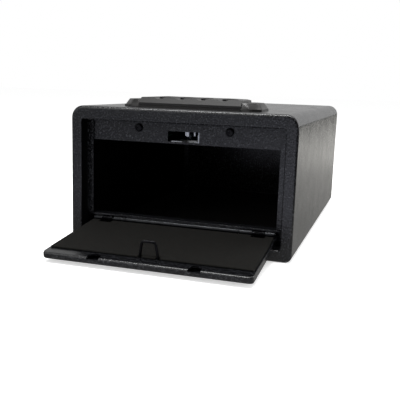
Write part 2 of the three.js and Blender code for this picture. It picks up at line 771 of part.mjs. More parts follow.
function solenoidPlunger() {
  return rod('y', plungerRadius, hookY + linkReach, solenoidFront + solenoidLength * 0.55, [plungerX, plungerZ], 16);
}

function solenoidFrame() {
  const x0 = plungerX - solenoidWidth / 2;
  const z0 = plungerZ - solenoidHeight / 2;
  const shell = box(x0, x0 + solenoidWidth, solenoidFront, solenoidFront + solenoidLength, z0, z0 + solenoidHeight);
  const window = box(x0 - 1, x0 + solenoidWidth + 1, solenoidFront + 2, solenoidFront + solenoidLength - 2,
    z0 + 1.2, z0 + solenoidHeight - 1.2);
  const bore = rod('y', plungerRadius + fitGap, solenoidFront - 1, solenoidFront + 3, [plungerX, plungerZ], 16);
  const stand = box(x0 + 4, x0 + solenoidWidth - 2, solenoidFront + 4, solenoidFront + solenoidLength - 4,
    housingFloor, z0 + 0.5);
  const shaftWay = box(lockX - 4, lockX + 4, solenoidFront, solenoidFront + solenoidLength, housingFloor, z0);
  return cut(join([shell.subtract(window), stand]), [bore, shaftWay]);
}

function solenoidCoil() {
  const front = solenoidFront + 2 + fitGap;
  const back = solenoidFront + solenoidLength - 2 - fitGap;
  const radius = (solenoidHeight - 2.4) / 2 - fitGap;
  const winding = rod('y', radius, front, back, [plungerX, plungerZ], 20);
  const bore = rod('y', plungerRadius + fitGap, front - 1, back - 6, [plungerX, plungerZ], 16);
  return winding.subtract(bore);
}

// Key override: cam lock in the rear panel, a long tailpiece and a finger over the hook's rear arm
function lockBody() {
  const flange = rod('y', lockFlangeRadius, rearFace, rearFace + lockFlangeHeight, [lockX, lockZ], 32,
    lockFlangeRadius - 1);
  const barrel = rod('y', lockBodyRadius, rearFace - lockBodyLength, rearFace + 0.5, [lockX, lockZ], 24);
  const bore = rod('y', plugRadius + plugGap, rearFace - lockBodyLength - 1, rearFace + 5, [lockX, lockZ], 24);
  return flange.add(barrel).subtract(bore);
}

function lockNut() {
  const back = rearFace - steel;
  const nut = rod('y', lockNutRadius, back - lockNutHeight, back, [lockX, lockZ], 6);
  const bore = rod('y', lockBodyRadius + fitGap, back - lockNutHeight - 1, back + 1, [lockX, lockZ], 24);
  return nut.subtract(bore);
}

function lockPlug() {
  const face = rearFace + lockFlangeHeight - 0.4;
  const plug = rod('y', plugRadius, rearFace - lockBodyLength - 2, face, [lockX, lockZ], 24);
  const slot = box(lockX - keySlotHalfWidth, lockX + keySlotHalfWidth, face - 8, face + 1,
    lockZ - keySlotHalfHeight, lockZ + keySlotHalfHeight);
  return plug.subtract(slot);
}

const fingerY = hookY + 8;

function overrideShaft() {
  const start = fingerY - 2;
  const end = rearFace - lockBodyLength - 2;
  return rod('y', shaftRadius, start, end, [lockX, lockZ], 16);
}

function overrideFinger() {
  const arm = box(lockX - fingerWidth / 2, lockX + fingerWidth / 2, fingerY, fingerY + fingerThickness,
    lockZ, lockZ + fingerReach);
  const hub = rod('y', shaftRadius + 1.6, fingerY, fingerY + fingerThickness, [lockX, lockZ], 20);
  const bore = rod('y', shaftRadius + fitGap / 2, fingerY - 1, fingerY + fingerThickness + 1, [lockX, lockZ], 16);
  return arm.add(hub).subtract(bore);
}

function shaftGuide() {
  const y0 = guideFromFront;
  const plate = box(lockX - 7, lockX + 7, y0, y0 + steel, lockZ - 6, ceiling);
  const foot = box(lockX - 7, lockX + 7, y0, y0 + 12, ceiling - steel, ceiling);
  const bore = rod('y', shaftRadius + fitGap, y0 - 1, y0 + steel + 1, [lockX, lockZ], 16);
  return plate.add(foot).subtract(bore);
}

// Battery tray on the right of the housing, with its hatch in the housing floor
const tray = {};
tray.x0 = slotHalfWidth + 8;
tray.x1 = tray.x0 + 2 * traySheet + cellCount * 2 * cellRadius + (cellCount + 1) * cellGap;
tray.y0 = hookY + trayFromHook;
tray.y1 = tray.y0 + 2 * (traySheet + contactSheet + fitGap) + cellLength;
tray.z0 = housingFloor;
tray.z1 = tray.z0 + 2 * cellRadius + 3;

function batteryTray() {
  const shell = box(tray.x0, tray.x1, tray.y0, tray.y1, tray.z0, tray.z1);
  const room = box(tray.x0 + traySheet, tray.x1 - traySheet, tray.y0 + traySheet, tray.y1 - traySheet,
    tray.z0 - 1, tray.z1 - traySheet);
  return shell.subtract(room);
}

function batteryCell(i) {
  const x = tray.x0 + traySheet + cellGap + cellRadius + i * (2 * cellRadius + cellGap);
  const z = tray.z1 - traySheet - fitGap - cellRadius;
  const y0 = tray.y0 + traySheet + contactSheet + fitGap;
  const body = [y0 + cellTip * (i % 2), y0 + cellLength - cellTip * (1 - (i % 2))];
  const can = rod('y', cellRadius, ...body, [x, z], 18);
  const tip = rod('y', cellTipRadius, y0, y0 + cellLength, [x, z], 12);
  return can.add(tip);
}

function batteryContact(y) {
  return box(tray.x0 + traySheet + 1, tray.x1 - traySheet - 1, y, y + contactSheet,
    tray.z0 + 2, tray.z1 - traySheet - 1);
}

function batteryCover() {
  const lid = box(tray.x0 + 2 + fitGap, tray.x1 - 2 - fitGap, tray.y0 + 2 + fitGap, tray.y1 - 2 - fitGap,
    headerBottom, housingFloor - fitGap);
  const rim = box(tray.x0, tray.x1, tray.y0, tray.y1, headerBottom - 1.2, headerBottom);
  const hole = rod('z', 1.4 + fitGap, headerBottom - 3, housingFloor + 1, [coverScrew.x, coverScrew.y], 12);
  return lid.add(rim).subtract(hole);
}

const coverScrew = { x: (tray.x0 + tray.x1) / 2, y: tray.y0 + 6 };

function batteryCoverScrew() {
  const head = rod('z', 3, headerBottom - 3, headerBottom - 1.2, [coverScrew.x, coverScrew.y], 16);
  const shank = rod('z', 1.4, headerBottom - 2, housingFloor + 0.6, [coverScrew.x, coverScrew.y], 12);
  return head.add(shank);
}

// Control board on the left of the housing
const board = {};
board.x1 = chassisX0 - 8;
board.x0 = board.x1 - boardWidth;
board.y0 = headerBack + boardFromHeader;
board.y1 = board.y0 + boardLength;
board.z0 = housingFloor + standoffHeight;
board.z1 = board.z0 + boardThickness;

function boardCorners() {
  return [board.x0 + 4, board.x1 - 4].flatMap((x) => [board.y0 + 4, board.y1 - 4].map((y) => [x, y]));
}

function controlBoard() {
  const plate = box(board.x0, board.x1, board.y0, board.y1, board.z0, board.z1);
  const chip = (x, y, wide, deep, high) =>
    box(board.x0 + x, board.x0 + x + wide, board.y0 + y, board.y0 + y + deep, board.z0 + 0.5, board.z1 + high);
  const soldered = [
    chip(processorX, processorY, processorSide, processorSide, 2), chip(driverX, driverY, 6, 9, 3),
    chip(socketX, socketY, socketWidth, 8, 4), chip(9, 8, buzzerSide, buzzerSide, 6),
  ];
  const holes = boardCorners().map((at) =>
    rod('z', boardScrewRadius + fitGap, board.z0 - 1, board.z1 + 1, at, 10));
  return cut(join([plate, ...soldered]), holes);
}

// Standoffs pressed into the housing floor, open at the top for the board's screws
function boardStandoffs() {
  return boardCorners().map((at) => {
    const post = rod('z', standoffRadius, housingFloor - 0.5, board.z0, at, 12);
    return post.subtract(rod('z', boardScrewRadius + fitGap, housingFloor, board.z0 + 1, at, 10));
  });
}

function boardScrew(at) {
  const head = rod('z', 2.4, board.z1, board.z1 + 1.5, at, 12);
  const shank = rod('z', boardScrewRadius, housingFloor + 0.5, board.z1 + 0.5, at, 10);
  return head.add(shank);
}

// Leads lie on their own routes between the battery, the solenoid and the board
function lead(points, radius) {
  const path = new THREE.CatmullRomCurve3(points.map((p) => new THREE.Vector3(...p)), false, 'centripetal');
  return alongPath(path, radius, 6, 26);
}

function batteryLead() {
  const y = tray.y1 + leadRadius + fitGap;
  const z = housingFloor + leadRadius + fitGap;
  const edge = board.x1 + leadRadius + fitGap;
  return lead([[tray.x0 + leadTuck, y, z], [tray.x0, y + 0.4, z], [tray.x0 - leadReach, y, z], [0, y, z],
    [edge + leadSide, board.y1 + leadLoop, z], [edge, board.y1 + 2, z + 1], [edge, board.y1 - leadTuck, board.z0 + 1]], leadRadius);
}

function solenoidLead() {
  const edge = board.x1 + coilLeadRadius + fitGap;
  const coilSide = plungerX - solenoidHeight / 2 + 1.2;
  const y = solenoidFront + leadTuck;
  return lead([[edge, board.y1 - leadStart, board.z1 + 1], [edge + 1, board.y1 - leadLoop, board.z1 + 3],
    [lockX - 8, y - 4, plungerZ - 5], [lockX - 4, y - 1, plungerZ - 0.5], [coilSide, y, plungerZ]], coilLeadRadius);
}

const ribbonX = padBoardInset - deckHalfWidth + ribbonFromEdge;
const ribbonHalf = 6;
const ribbonY = board.y0 + ribbonFromBoardFront;

function ribbonCable() {
  const top = caseHeight + padFloor + 1.5;
  const shape = outline([
    [ribbonY - 0.4, board.z1 + fitGap], [ribbonY + 0.4, board.z1 + fitGap], [ribbonY + 0.4, top],
    [ribbonY - 0.4, top],
  ]);
  return prismX(shape, ribbonX - ribbonHalf, ribbonX + ribbonHalf);
}

// Keypad: base with two wings, raised deck with four finger channels, four keys and their board
const padZ = caseHeight;
const deckRear = padFront + padDepth;
const deckTop = padZ + deckHeight;
const keyRow = padFront + keyFromDeckFront + keyLength / 2;
const deckSlope = Math.atan2(deckHeight - deckCrestHeight, deckCrownLength - deckCrestLength);
const channelFloor = padZ + deckCrestHeight - channelDepth;

function padScrews() {
  const x = wingHalfWidth - padScrewInset;
  return mirrored((side) => [wingFront + padScrewFront, wingRear - padScrewRear].map((y) => [side * x, y])).flat();
}

function deckPlan(inset) {
  const front = padFront + inset;
  const rear = deckRear - inset;
  const wide = deckHalfWidth - inset;
  const narrow = deckRearHalfWidth - inset;
  return outline([
    [-wide, front], [wide, front], [wide, front + deckWideLength - inset], [narrow, rear - deckRearCorner + inset],
    [narrow - deckRearCorner, rear], [-narrow + deckRearCorner, rear], [-narrow, rear - deckRearCorner + inset], [-wide, front + deckWideLength - inset],
  ]);
}

// The deck seen from the side: front wall, steep slope up to the crest, gentle rise to the palm rest
function deckProfile(inset) {
  const z = padZ - inset;
  const foot = padZ + padFloor - inset / 2;
  return outline([
    [padFront + inset, foot], [padFront + inset, z + deckFrontWall],
    [padFront + deckCrestLength + inset * 0.6, z + deckCrestHeight], [padFront + deckCrownLength, z + deckHeight],
    [padFront + deckPalmLength, z + deckHeight - 0.4], [deckRear - 6 - inset * 0.5, z + 6],
    [deckRear - inset, z + 3.4], [deckRear - inset, foot],
  ]);
}

// The deck seen from the front: level over the palm, falling a little to each side
function deckRoof(inset) {
  const side = deckHalfWidth - inset;
  const top = padZ + deckHeight - inset;
  return outline([
    [-side, padZ], [side, padZ], [side, top - deckSideDrop], [deckRoofHalf, top], [-deckRoofHalf, top],
    [-side, top - deckSideDrop],
  ]);
}

function deckBlock(inset) {
  return prismX(deckProfile(inset), -deckHalfWidth + inset, deckHalfWidth - inset)
    .intersect(prismZ(deckPlan(inset), padZ, deckTop + deckHeight))
    .intersect(prismY(deckRoof(inset), padFront - 1, deckRear + 1));
}

function deckSideSlopes(inset) {
  return mirrored((side) => {
    const wedge = new THREE.BoxGeometry(sideCutter, padDepth * 1.4, sideCutter * 1.5);
    wedge.applyMatrix4(new THREE.Matrix4().makeRotationY(side * THREE.MathUtils.degToRad(-22)));
    const shift = deckHalfWidth - inset + sideCutter * 0.53;
    wedge.translate(side * shift, padFront + padDepth / 2, padZ + deckHeight - 1.5);
    return toSolid(wedge);
  });
}

function channelCutters(radius, sides = 32) {
  const y = padFront + channelLength / 2 - 2;
  const z = channelFloor + channelRadius + Math.sin(deckSlope) * (y - padFront - deckCrestLength);
  return keyPlaces().map((x) => {
    const geometry = new THREE.CylinderGeometry(radius, radius, channelLength, sides);
    geometry.applyMatrix4(new THREE.Matrix4().makeRotationX(deckSlope));
    geometry.translate(x, y, z);
    const end = new THREE.SphereGeometry(radius, sides, 16);
    end.translate(x, y + Math.cos(deckSlope) * channelLength / 2, z + Math.sin(deckSlope) * channelLength / 2);
    return toSolid(geometry).add(toSolid(end));
  });
}

function keyPlaces() {
  return [-1.5, -0.5, 0.5, 1.5].map((step) => step * keySpacing);
}

function keypadCover() {
  const outer = cut(deckBlock(0), [...deckSideSlopes(0), ...channelCutters(channelRadius)]);
  const inner = cut(deckBlock(deckSheet), [...deckSideSlopes(deckSheet), ...channelCutters(channelRadius + deckSheet)]);
  const windows = keyPlaces().map((x) => box(x - keyWidth / 2 - keyGap, x + keyWidth / 2 + keyGap,
    keyRow - keyLength / 2 - keyGap, keyRow + keyLength / 2 + keyGap, padZ + padFloor, deckTop + deckHeight));
  const lensHole = rod('z', ledRadius + fitGap, padZ + padFloor + 3, deckTop + deckHeight, [0, ledY], 16);
  return cut(outer.subtract(inner), [...windows, lensHole]);
}

const ledY = padFront + ledFromDeckFront;

// Wings on both sides, tied together by a thin floor under the deck
function wingPlan(side, inset) {
  const out = wingHalfWidth - inset;
  const inner = deckHalfWidth + fitGap;
  const front = wingFront + inset;
  const rear = wingRear - inset;
  const points = [
    [inner, front], [out - wingCorner, front], [out, front + wingCorner], [out, rear - wingCorner],
    [out - wingCorner, rear], [inner, rear],
  ];
  return outline(side > 0 ? points : points.map(([x, y]) => [-x, y]).reverse());
}

function keypadBase() {
  const wings = mirrored((side) => {
    const wall = prismZ(wingPlan(side, 0), padZ, padZ + wingSideWall);
    const geometry = new THREE.ExtrudeGeometry(wingPlan(side, wingSlopeRun), {
      depth: 0.01,
      bevelThickness: wingHeight - wingSideWall,
      bevelSize: wingSlopeRun,
      bevelSegments: 1,
      curveSegments: 2,
    });
    geometry.translate(0, 0, padZ + wingSideWall);
    const lower = new THREE.Matrix4().makeTranslation(0, 0, 0);
    geometry.applyMatrix4(lower);
    const crown = toSolid(geometry);
    const limits = side > 0
      ? box(deckHalfWidth + fitGap, wingHalfWidth + 1, wingFront - 1, wingRear + 1, padZ, padZ + wingHeight)
      : box(-wingHalfWidth - 1, -deckHalfWidth - fitGap, wingFront - 1, wingRear + 1, padZ, padZ + wingHeight);
    return wall.add(crown).intersect(limits);
  });
  const floor = prismZ(deckPlan(0), padZ, padZ + padFloor - fitGap)
    .add(box(-deckHalfWidth - 2, deckHalfWidth + 2, wingFront + 6, wingRear - 6, padZ, padZ + padFloor - fitGap));
  const holes = padScrews().map(([x, y]) => rod('z', padScrewRadius + fitGap, padZ - 1, padZ + 6, [x, y], 12));
  const cableWay = box(ribbonX - ribbonHalf - 1, ribbonX + ribbonHalf + 1, ribbonY - 2, ribbonY + 2,
    padZ - 1, padZ + padFloor + 1);
  return cut(join([floor, ...wings]), [...holes, cableWay]);
}

function keypadScrew(at) {
  const head = rod('z', 3, ceiling - 2, ceiling, at, 14);
  const shank = rod('z', padScrewRadius, ceiling - 1, padZ + 5, at, 12);
  return head.add(shank);
}

const padBoard = { z0: padZ + padFloor, z1: padZ + padFloor + 1.2 };

function keypadBoard() {
  const plate = box(-deckHalfWidth + padBoardInset, deckHalfWidth - padBoardInset, padFront + padBoardInset,
    deckRear - padBoardRearInset, padBoard.z0, padBoard.z1);
  const domes = keyPlaces().map((x) =>
    rod('z', 2.6, padBoard.z1 - 0.2, padBoard.z1 + domeHeight, [x, keyRow], 14, 1.4));
  return join([plate, ...domes]).subtract(box(ribbonX - ribbonHalf - 1, ribbonX + ribbonHalf + 1,
    ribbonY - 2, ribbonY + 2, padBoard.z0 - 1, padBoard.z1 + 1));
}

function keyCap(x) {
  const foot = padBoard.z1 + domeHeight + fitGap + keyTravel;
  const top = channelFloor + Math.sin(deckSlope) * (keyRow - padFront - deckCrestLength) + keyProud;
  const block = box(x - keyWidth / 2, x + keyWidth / 2, keyRow - keyLength / 2, keyRow + keyLength / 2,
    foot + 0.5, top + 2);
  const geometry = new THREE.CylinderGeometry(channelRadius, channelRadius, keyLength * 3, 32);
  geometry.applyMatrix4(new THREE.Matrix4().makeRotationX(deckSlope));
  geometry.translate(x, keyRow, top + channelRadius);
  const stem = rod('z', 1.6, foot, foot + 1, [x, keyRow], 12);
  return block.subtract(toSolid(geometry)).add(stem);
}

function statusLed() {
  const lens = rod('z', ledRadius, padBoard.z1, deckTop - ledRadius, [0, ledY], 14);
  const dome = new THREE.SphereGeometry(ledRadius, 14, 8);
  dome.translate(0, ledY, deckTop - ledRadius);
  return lens.add(toSolid(dome));
}

// Assembly
add('outer_case', outerCase(), 'powder');
add('rear_panel', rearPanel(), 'powder');
add('jamb_frame', jambFrame(), 'powder');
add('hinge_sill', hingeSill(), 'powder');
add('floor_pad', floorLiner(), 'foam');
add('body_hinge_leaf', bodyHingeLeaf(), 'zinc');
add('hinge_pin', rod('x', hingePinRadius, -hingeHalf - 0.6, hingeHalf + 0.6, [hingeY, hingeZ], 16), 'zinc');
add('door_spring_left', doorSpring(-1), 'spring');
add('door_spring_right', doorSpring(1), 'spring');

add('door_pan', doorPan(), 'powder', doorParts);
add('door_liner', doorLiner(), 'foam', doorParts);
add('door_hinge_leaf', doorHingeLeaf(), 'zinc', doorParts);
add('striker_loop', strikerLoop(), 'blackOxide', doorParts);

add('lock_housing', lockHousing(), 'powder');
add('header_screw_left', headerScrew(-1), 'blackOxide');
add('header_screw_right', headerScrew(1), 'blackOxide');
add('header_bracket', headerBracket(), 'zinc');
add('latch_chassis', latchChassis(), 'zinc');
latchScrewPlaces().forEach((at, i) => add(`latch_screw_${i + 1}`, latchScrew(at), 'blackOxide'));
add('latch_hook', latchHook(), 'zinc');
add('latch_pivot_pin', latchPivotPin(), 'zinc');
add('latch_spring', latchSpring(), 'spring');
add('plunger_link', plungerLink(), 'zinc');
add('solenoid_plunger', solenoidPlunger(), 'zinc');
add('solenoid_frame', solenoidFrame(), 'zinc');
add('solenoid_coil', solenoidCoil(), 'copper');

add('override_lock_body', lockBody(), 'chrome');
add('override_lock_nut', lockNut(), 'zinc');
add('override_lock_plug', lockPlug(), 'chrome');
add('override_shaft', overrideShaft(), 'zinc');
add('override_finger', overrideFinger(), 'zinc');
add('shaft_guide', shaftGuide(), 'zinc');

add('battery_tray', batteryTray(), 'plastic');
Array.from({ length: cellCount }, (_, i) => add(`battery_cell_${i + 1}`, batteryCell(i), 'cell'));
add('battery_contact_front', batteryContact(tray.y0 + traySheet), 'spring');
add('battery_contact_rear', batteryContact(tray.y1 - traySheet - contactSheet), 'spring');
add('battery_cover', batteryCover(), 'plastic');
add('battery_cover_screw', batteryCoverScrew(), 'blackOxide');
add('control_board', controlBoard(), 'board');
add('board_screw_front', boardScrew(boardCorners()[0]), 'blackOxide');
add('board_screw_rear', boardScrew(boardCorners()[3]), 'blackOxide');
add('battery_lead', batteryLead(), 'wire');
add('solenoid_lead', solenoidLead(), 'wire');
add('ribbon_cable', ribbonCable(), 'wire');

add('keypad_base', keypadBase(), 'plastic');
add('keypad_cover', keypadCover(), 'plastic');
keyPlaces().forEach((x, i) => add(`key_${i + 1}`, keyCap(x), 'rubber'));
add('keypad_board', keypadBoard(), 'board');
padScrews().forEach((at, i) => add(`keypad_screw_${i + 1}`, keypadScrew(at), 'blackOxide'));
add('status_led', statusLed(), 'lens');

doorParts.position.set(0, hingeY, hingeZ);
doorParts.rotation.x = openAngle;
parts.add(doorParts);
parts.position.y = -caseDepth / 2;

const safe = new THREE.Group();
safe.add(parts);
export default safe;
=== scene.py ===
# A low steel safe with a finger keypad on top and a door that drops open, dressed around its CAD model.
# Sizes in the dictionaries are millimetres: x from the middle, y from the front edge, z from the underside.
# The camera, the lamps and the floor's gloss are placed from the middle of the underside instead.
import json
import math

import bmesh
import bpy
from mathutils import Matrix, Vector, noise


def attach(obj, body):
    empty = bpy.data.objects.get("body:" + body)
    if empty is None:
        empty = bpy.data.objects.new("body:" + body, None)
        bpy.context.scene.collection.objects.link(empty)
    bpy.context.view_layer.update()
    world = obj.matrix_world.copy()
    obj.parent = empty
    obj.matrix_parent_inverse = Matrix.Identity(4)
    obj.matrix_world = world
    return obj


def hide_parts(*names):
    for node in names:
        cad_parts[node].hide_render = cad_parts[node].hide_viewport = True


mm = 0.001
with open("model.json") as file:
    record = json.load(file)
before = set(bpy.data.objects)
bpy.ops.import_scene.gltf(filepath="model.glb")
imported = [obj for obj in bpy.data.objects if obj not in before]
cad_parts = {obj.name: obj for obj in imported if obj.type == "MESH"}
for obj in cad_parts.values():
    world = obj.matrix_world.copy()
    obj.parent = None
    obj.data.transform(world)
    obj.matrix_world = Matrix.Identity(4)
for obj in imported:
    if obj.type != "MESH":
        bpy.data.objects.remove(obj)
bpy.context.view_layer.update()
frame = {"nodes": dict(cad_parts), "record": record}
bodyOfNode = {}
for body, carried in frame["record"]["behaviour"]["bodies"].items():
    bodyOfNode.update(dict.fromkeys(carried, body))
print("frame loaded:", len(frame["nodes"]), "nodes")


# Camera and studio

photoCamera = {
    "place": (176.885, -657.66, 144.584), "yaw": 0.303, "pitch": 0.184, "roll": 0.032,  # turns in radians
    "lens": 55.57, "sensor": 36, "clip": (0.02, 60),
}


def placeCamera(settings):
    yaw, pitch, roll = settings["yaw"], settings["pitch"], settings["roll"]
    forward = Vector((-math.sin(yaw) * math.cos(pitch), math.cos(yaw) * math.cos(pitch), -math.sin(pitch)))
    level = forward.cross(Vector((0, 0, 1))).normalized()
    upright = level.cross(forward)
    right = math.cos(roll) * level + math.sin(roll) * upright
    up = -math.sin(roll) * level + math.cos(roll) * upright
    data = bpy.data.cameras.new("photoCamera")
    data.lens = settings["lens"]
    data.sensor_width = settings["sensor"]
    data.clip_start, data.clip_end = settings["clip"]
    camera = bpy.data.objects.new("photoCamera", data)
    bpy.context.scene.collection.objects.link(camera)
    turned = Matrix((right, up, -forward)).transposed().to_4x4()
    camera.matrix_world = Matrix.Translation(Vector(settings["place"]) * mm) @ turned
    bpy.context.scene.camera = camera


studio = {
    "worldLevel": 0.5,
    "glossBehind": 0.56, "glossBefore": 0.07, "glossLean": (0, 0.75, 0.65), "glossTurn": (0.05, 0.65),
    "floorHalf": 9000, "floorDrop": 0.2, "floorColour": (0.88, 0.88, 0.88), "floorLift": 0.55,
    "glossAlong": [  # y and colour
        (-420, (0.44, 0.45, 0.53)), (-330, (0.37, 0.37, 0.43)), (-230, (0.19, 0.188, 0.186)),
        (0, (0.185, 0.183, 0.176)), (400, (0.305, 0.3, 0.287)), (750, (0.5, 0.492, 0.468)),
    ],
    "glossAcross": [(-450, 0.3), (90, 0.96), (300, 1.0), (430, 0.05)],  # x and level
    "glossLevel": 1.8,
    "lamps": {
        "topLamp": {"at": (150, 0, 1500), "towards": (0, 0, 60), "size": (1500, 1500), "watts": 9},
        "frontLamp": {"at": (-900, -1500, 900), "towards": (0, -100, 60), "size": (1400, 1400), "watts": 7},
        "sideLamp": {"at": (1500, 900, 700), "towards": (0, 0, 60), "size": (1200, 1200), "watts": 12},
        "edgeLamp": {"at": (-150, -520, 1400), "towards": (-150, -120, 0), "size": (1000, 200), "watts": 12},
    },
}


def mathNode(nodes, operation, second=None):
    worked = nodes.new("ShaderNodeMath")
    worked.operation = operation
    if second is not None:
        worked.inputs[1].default_value = second
    return worked


def mapNode(nodes, low, high, toLow=0.0, toHigh=1.0):
    spread = nodes.new("ShaderNodeMapRange")
    for label, value in (("From Min", low), ("From Max", high), ("To Min", toLow), ("To Max", toHigh)):
        spread.inputs[label].default_value = value
    return spread


def feed(links, source, sockets):
    for label, socket in sockets:
        links.new(source.outputs[label], socket)


# Gloss sees a soft sky, bright behind the safe and dark before it, and the camera sees white
def lightWorld(settings):
    world = bpy.data.worlds.new("studio")
    bpy.context.scene.world = world
    world.use_nodes = True
    nodes, links = world.node_tree.nodes, world.node_tree.links
    nodes.clear()
    output = nodes.new("ShaderNodeOutputWorld")
    rays = nodes.new("ShaderNodeLightPath")
    around = nodes.new("ShaderNodeTexCoord")
    lean = nodes.new("ShaderNodeVectorMath")
    lean.operation = "DOT_PRODUCT"
    lean.inputs[1].default_value = settings["glossLean"]
    level = mapNode(nodes, *settings["glossTurn"], settings["glossBefore"], settings["glossBehind"])
    plain = nodes.new("ShaderNodeBackground")
    plain.inputs["Strength"].default_value = settings["worldLevel"]
    white = nodes.new("ShaderNodeBackground")
    mirrored = nodes.new("ShaderNodeBackground")
    seenInGloss = mathNode(nodes, "MAXIMUM")
    forGloss = nodes.new("ShaderNodeMixShader")
    forCamera = nodes.new("ShaderNodeMixShader")
    for source in (plain, white, mirrored):
        source.inputs["Color"].default_value = (1, 1, 1, 1)
    links.new(around.outputs["Generated"], lean.inputs[0])
    links.new(lean.outputs["Value"], level.inputs["Value"])
    links.new(level.outputs[0], mirrored.inputs["Strength"])
    feed(links, rays, [
        ("Is Glossy Ray", seenInGloss.inputs[0]), ("Is Transmission Ray", seenInGloss.inputs[1]),
        ("Is Camera Ray", forCamera.inputs[0])])
    links.new(seenInGloss.outputs[0], forGloss.inputs[0])
    links.new(plain.outputs[0], forGloss.inputs[1])
    links.new(mirrored.outputs[0], forGloss.inputs[2])
    links.new(forGloss.outputs[0], forCamera.inputs[1])
    links.new(white.outputs[0], forCamera.inputs[2])
    links.new(forCamera.outputs[0], output.inputs["Surface"])


# A colour ramp along one coordinate, from stops of place and colour
def rampNode(nodes, links, value, stops):
    first, last = stops[0][0], stops[-1][0]
    share = mapNode(nodes, first * mm, last * mm)
    ramp = nodes.new("ShaderNodeValToRGB")
    while len(ramp.color_ramp.elements) < len(stops):
        ramp.color_ramp.elements.new(0.5)
    for element, (place, colour) in zip(ramp.color_ramp.elements, stops):
        element.position = (place - first) / (last - first)
        element.color = (*colour, 1)
    links.new(value, share.inputs["Value"])
    links.new(share.outputs[0], ramp.inputs[0])
    return ramp.outputs[0]


# The floor is pale and matt, and only gloss on the safe sees its soft gradient
def layFloor(settings):
    half, low = settings["floorHalf"] * mm, -settings["floorDrop"] * mm
    corners = [(-half, -half, low), (half, -half, low), (half, half, low), (-half, half, low)]
    mesh = bpy.data.meshes.new("studioFloor")
    mesh.from_pydata(corners, [], [(0, 1, 2, 3)])
    floor = bpy.data.objects.new("studioFloor", mesh)
    bpy.context.scene.collection.objects.link(floor)
    material = bpy.data.materials.new("studioFloor")
    material.use_nodes = True
    nodes, links = material.node_tree.nodes, material.node_tree.links
    nodes.clear()
    output = nodes.new("ShaderNodeOutputMaterial")
    matt = nodes.new("ShaderNodeBsdfDiffuse")
    matt.inputs["Color"].default_value = (*settings["floorColour"], 1)
    lift = nodes.new("ShaderNodeEmission")
    rays = nodes.new("ShaderNodeLightPath")
    where = nodes.new("ShaderNodeTexCoord")
    split = nodes.new("ShaderNodeSeparateXYZ")
    along = rampNode(nodes, links, split.outputs["Y"], settings["glossAlong"])
    levels = [(place, (level,) * 3) for place, level in settings["glossAcross"]]
    across = rampNode(nodes, links, split.outputs["X"], levels)
    level = mathNode(nodes, "MULTIPLY", settings["glossLevel"])
    inGloss = nodes.new("ShaderNodeEmission")
    amount = mathNode(nodes, "MULTIPLY", settings["floorLift"])
    both = nodes.new("ShaderNodeAddShader")
    choose = nodes.new("ShaderNodeMixShader")
    links.new(where.outputs["Object"], split.inputs[0])
    links.new(along, inGloss.inputs["Color"])
    links.new(across, level.inputs[0])
    links.new(level.outputs[0], inGloss.inputs["Strength"])
    feed(links, rays, [("Is Camera Ray", amount.inputs[0]), ("Is Glossy Ray", choose.inputs[0])])
    links.new(amount.outputs[0], lift.inputs["Strength"])
    links.new(matt.outputs[0], both.inputs[0])
    links.new(lift.outputs[0], both.inputs[1])
    links.new(both.outputs[0], choose.inputs[1])
    links.new(inGloss.outputs[0], choose.inputs[2])
    links.new(choose.outputs[0], output.inputs["Surface"])
    mesh.materials.append(material)


def hangLamps(settings):
    for name, lamp in settings["lamps"].items():
        data = bpy.data.lights.new(name, "AREA")
        data.shape = "RECTANGLE"
        data.size, data.size_y = (side * mm for side in lamp["size"])
        data.energy = lamp["watts"]
        lampObject = bpy.data.objects.new(name, data)
        bpy.context.scene.collection.objects.link(lampObject)
        at = Vector(lamp["at"]) * mm
        towards = (Vector(lamp["towards"]) * mm - at).to_track_quat("-Z", "Y")
        lampObject.matrix_world = Matrix.Translation(at) @ towards.to_matrix().to_4x4()


placeCamera(photoCamera)
lightWorld(studio)
layFloor(studio)
hangLamps(studio)
bpy.context.scene.view_settings.view_transform = "Standard"
print("camera and studio ready")


# Shader groups that several finishes share

grainSettings = {"smoothness": 0.6, "pebbleShare": 0.7, "specksFull": 0.78, "patches": 38}
brushSettings = {"stain": 160}
napSettings = {"distortion": 1.2, "tuftShare": 0.6}


def shaderGroup(name, inputs, outputs):
    group = bpy.data.node_groups.new(name, "ShaderNodeTree")
    for label, kind, value in inputs:
        socket = group.interface.new_socket(name=label, in_out="INPUT", socket_type=kind)
        if value is not None:
            socket.default_value = value
    for label, kind in outputs:
        group.interface.new_socket(name=label, in_out="OUTPUT", socket_type=kind)
    return group, group.nodes.new("NodeGroupInput"), group.nodes.new("NodeGroupOutput")


def noiseNode(nodes, detail, roughness):
    cloud = nodes.new("ShaderNodeTexNoise")
    cloud.inputs["Detail"].default_value = detail
    cloud.inputs["Roughness"].default_value = roughness
    return cloud


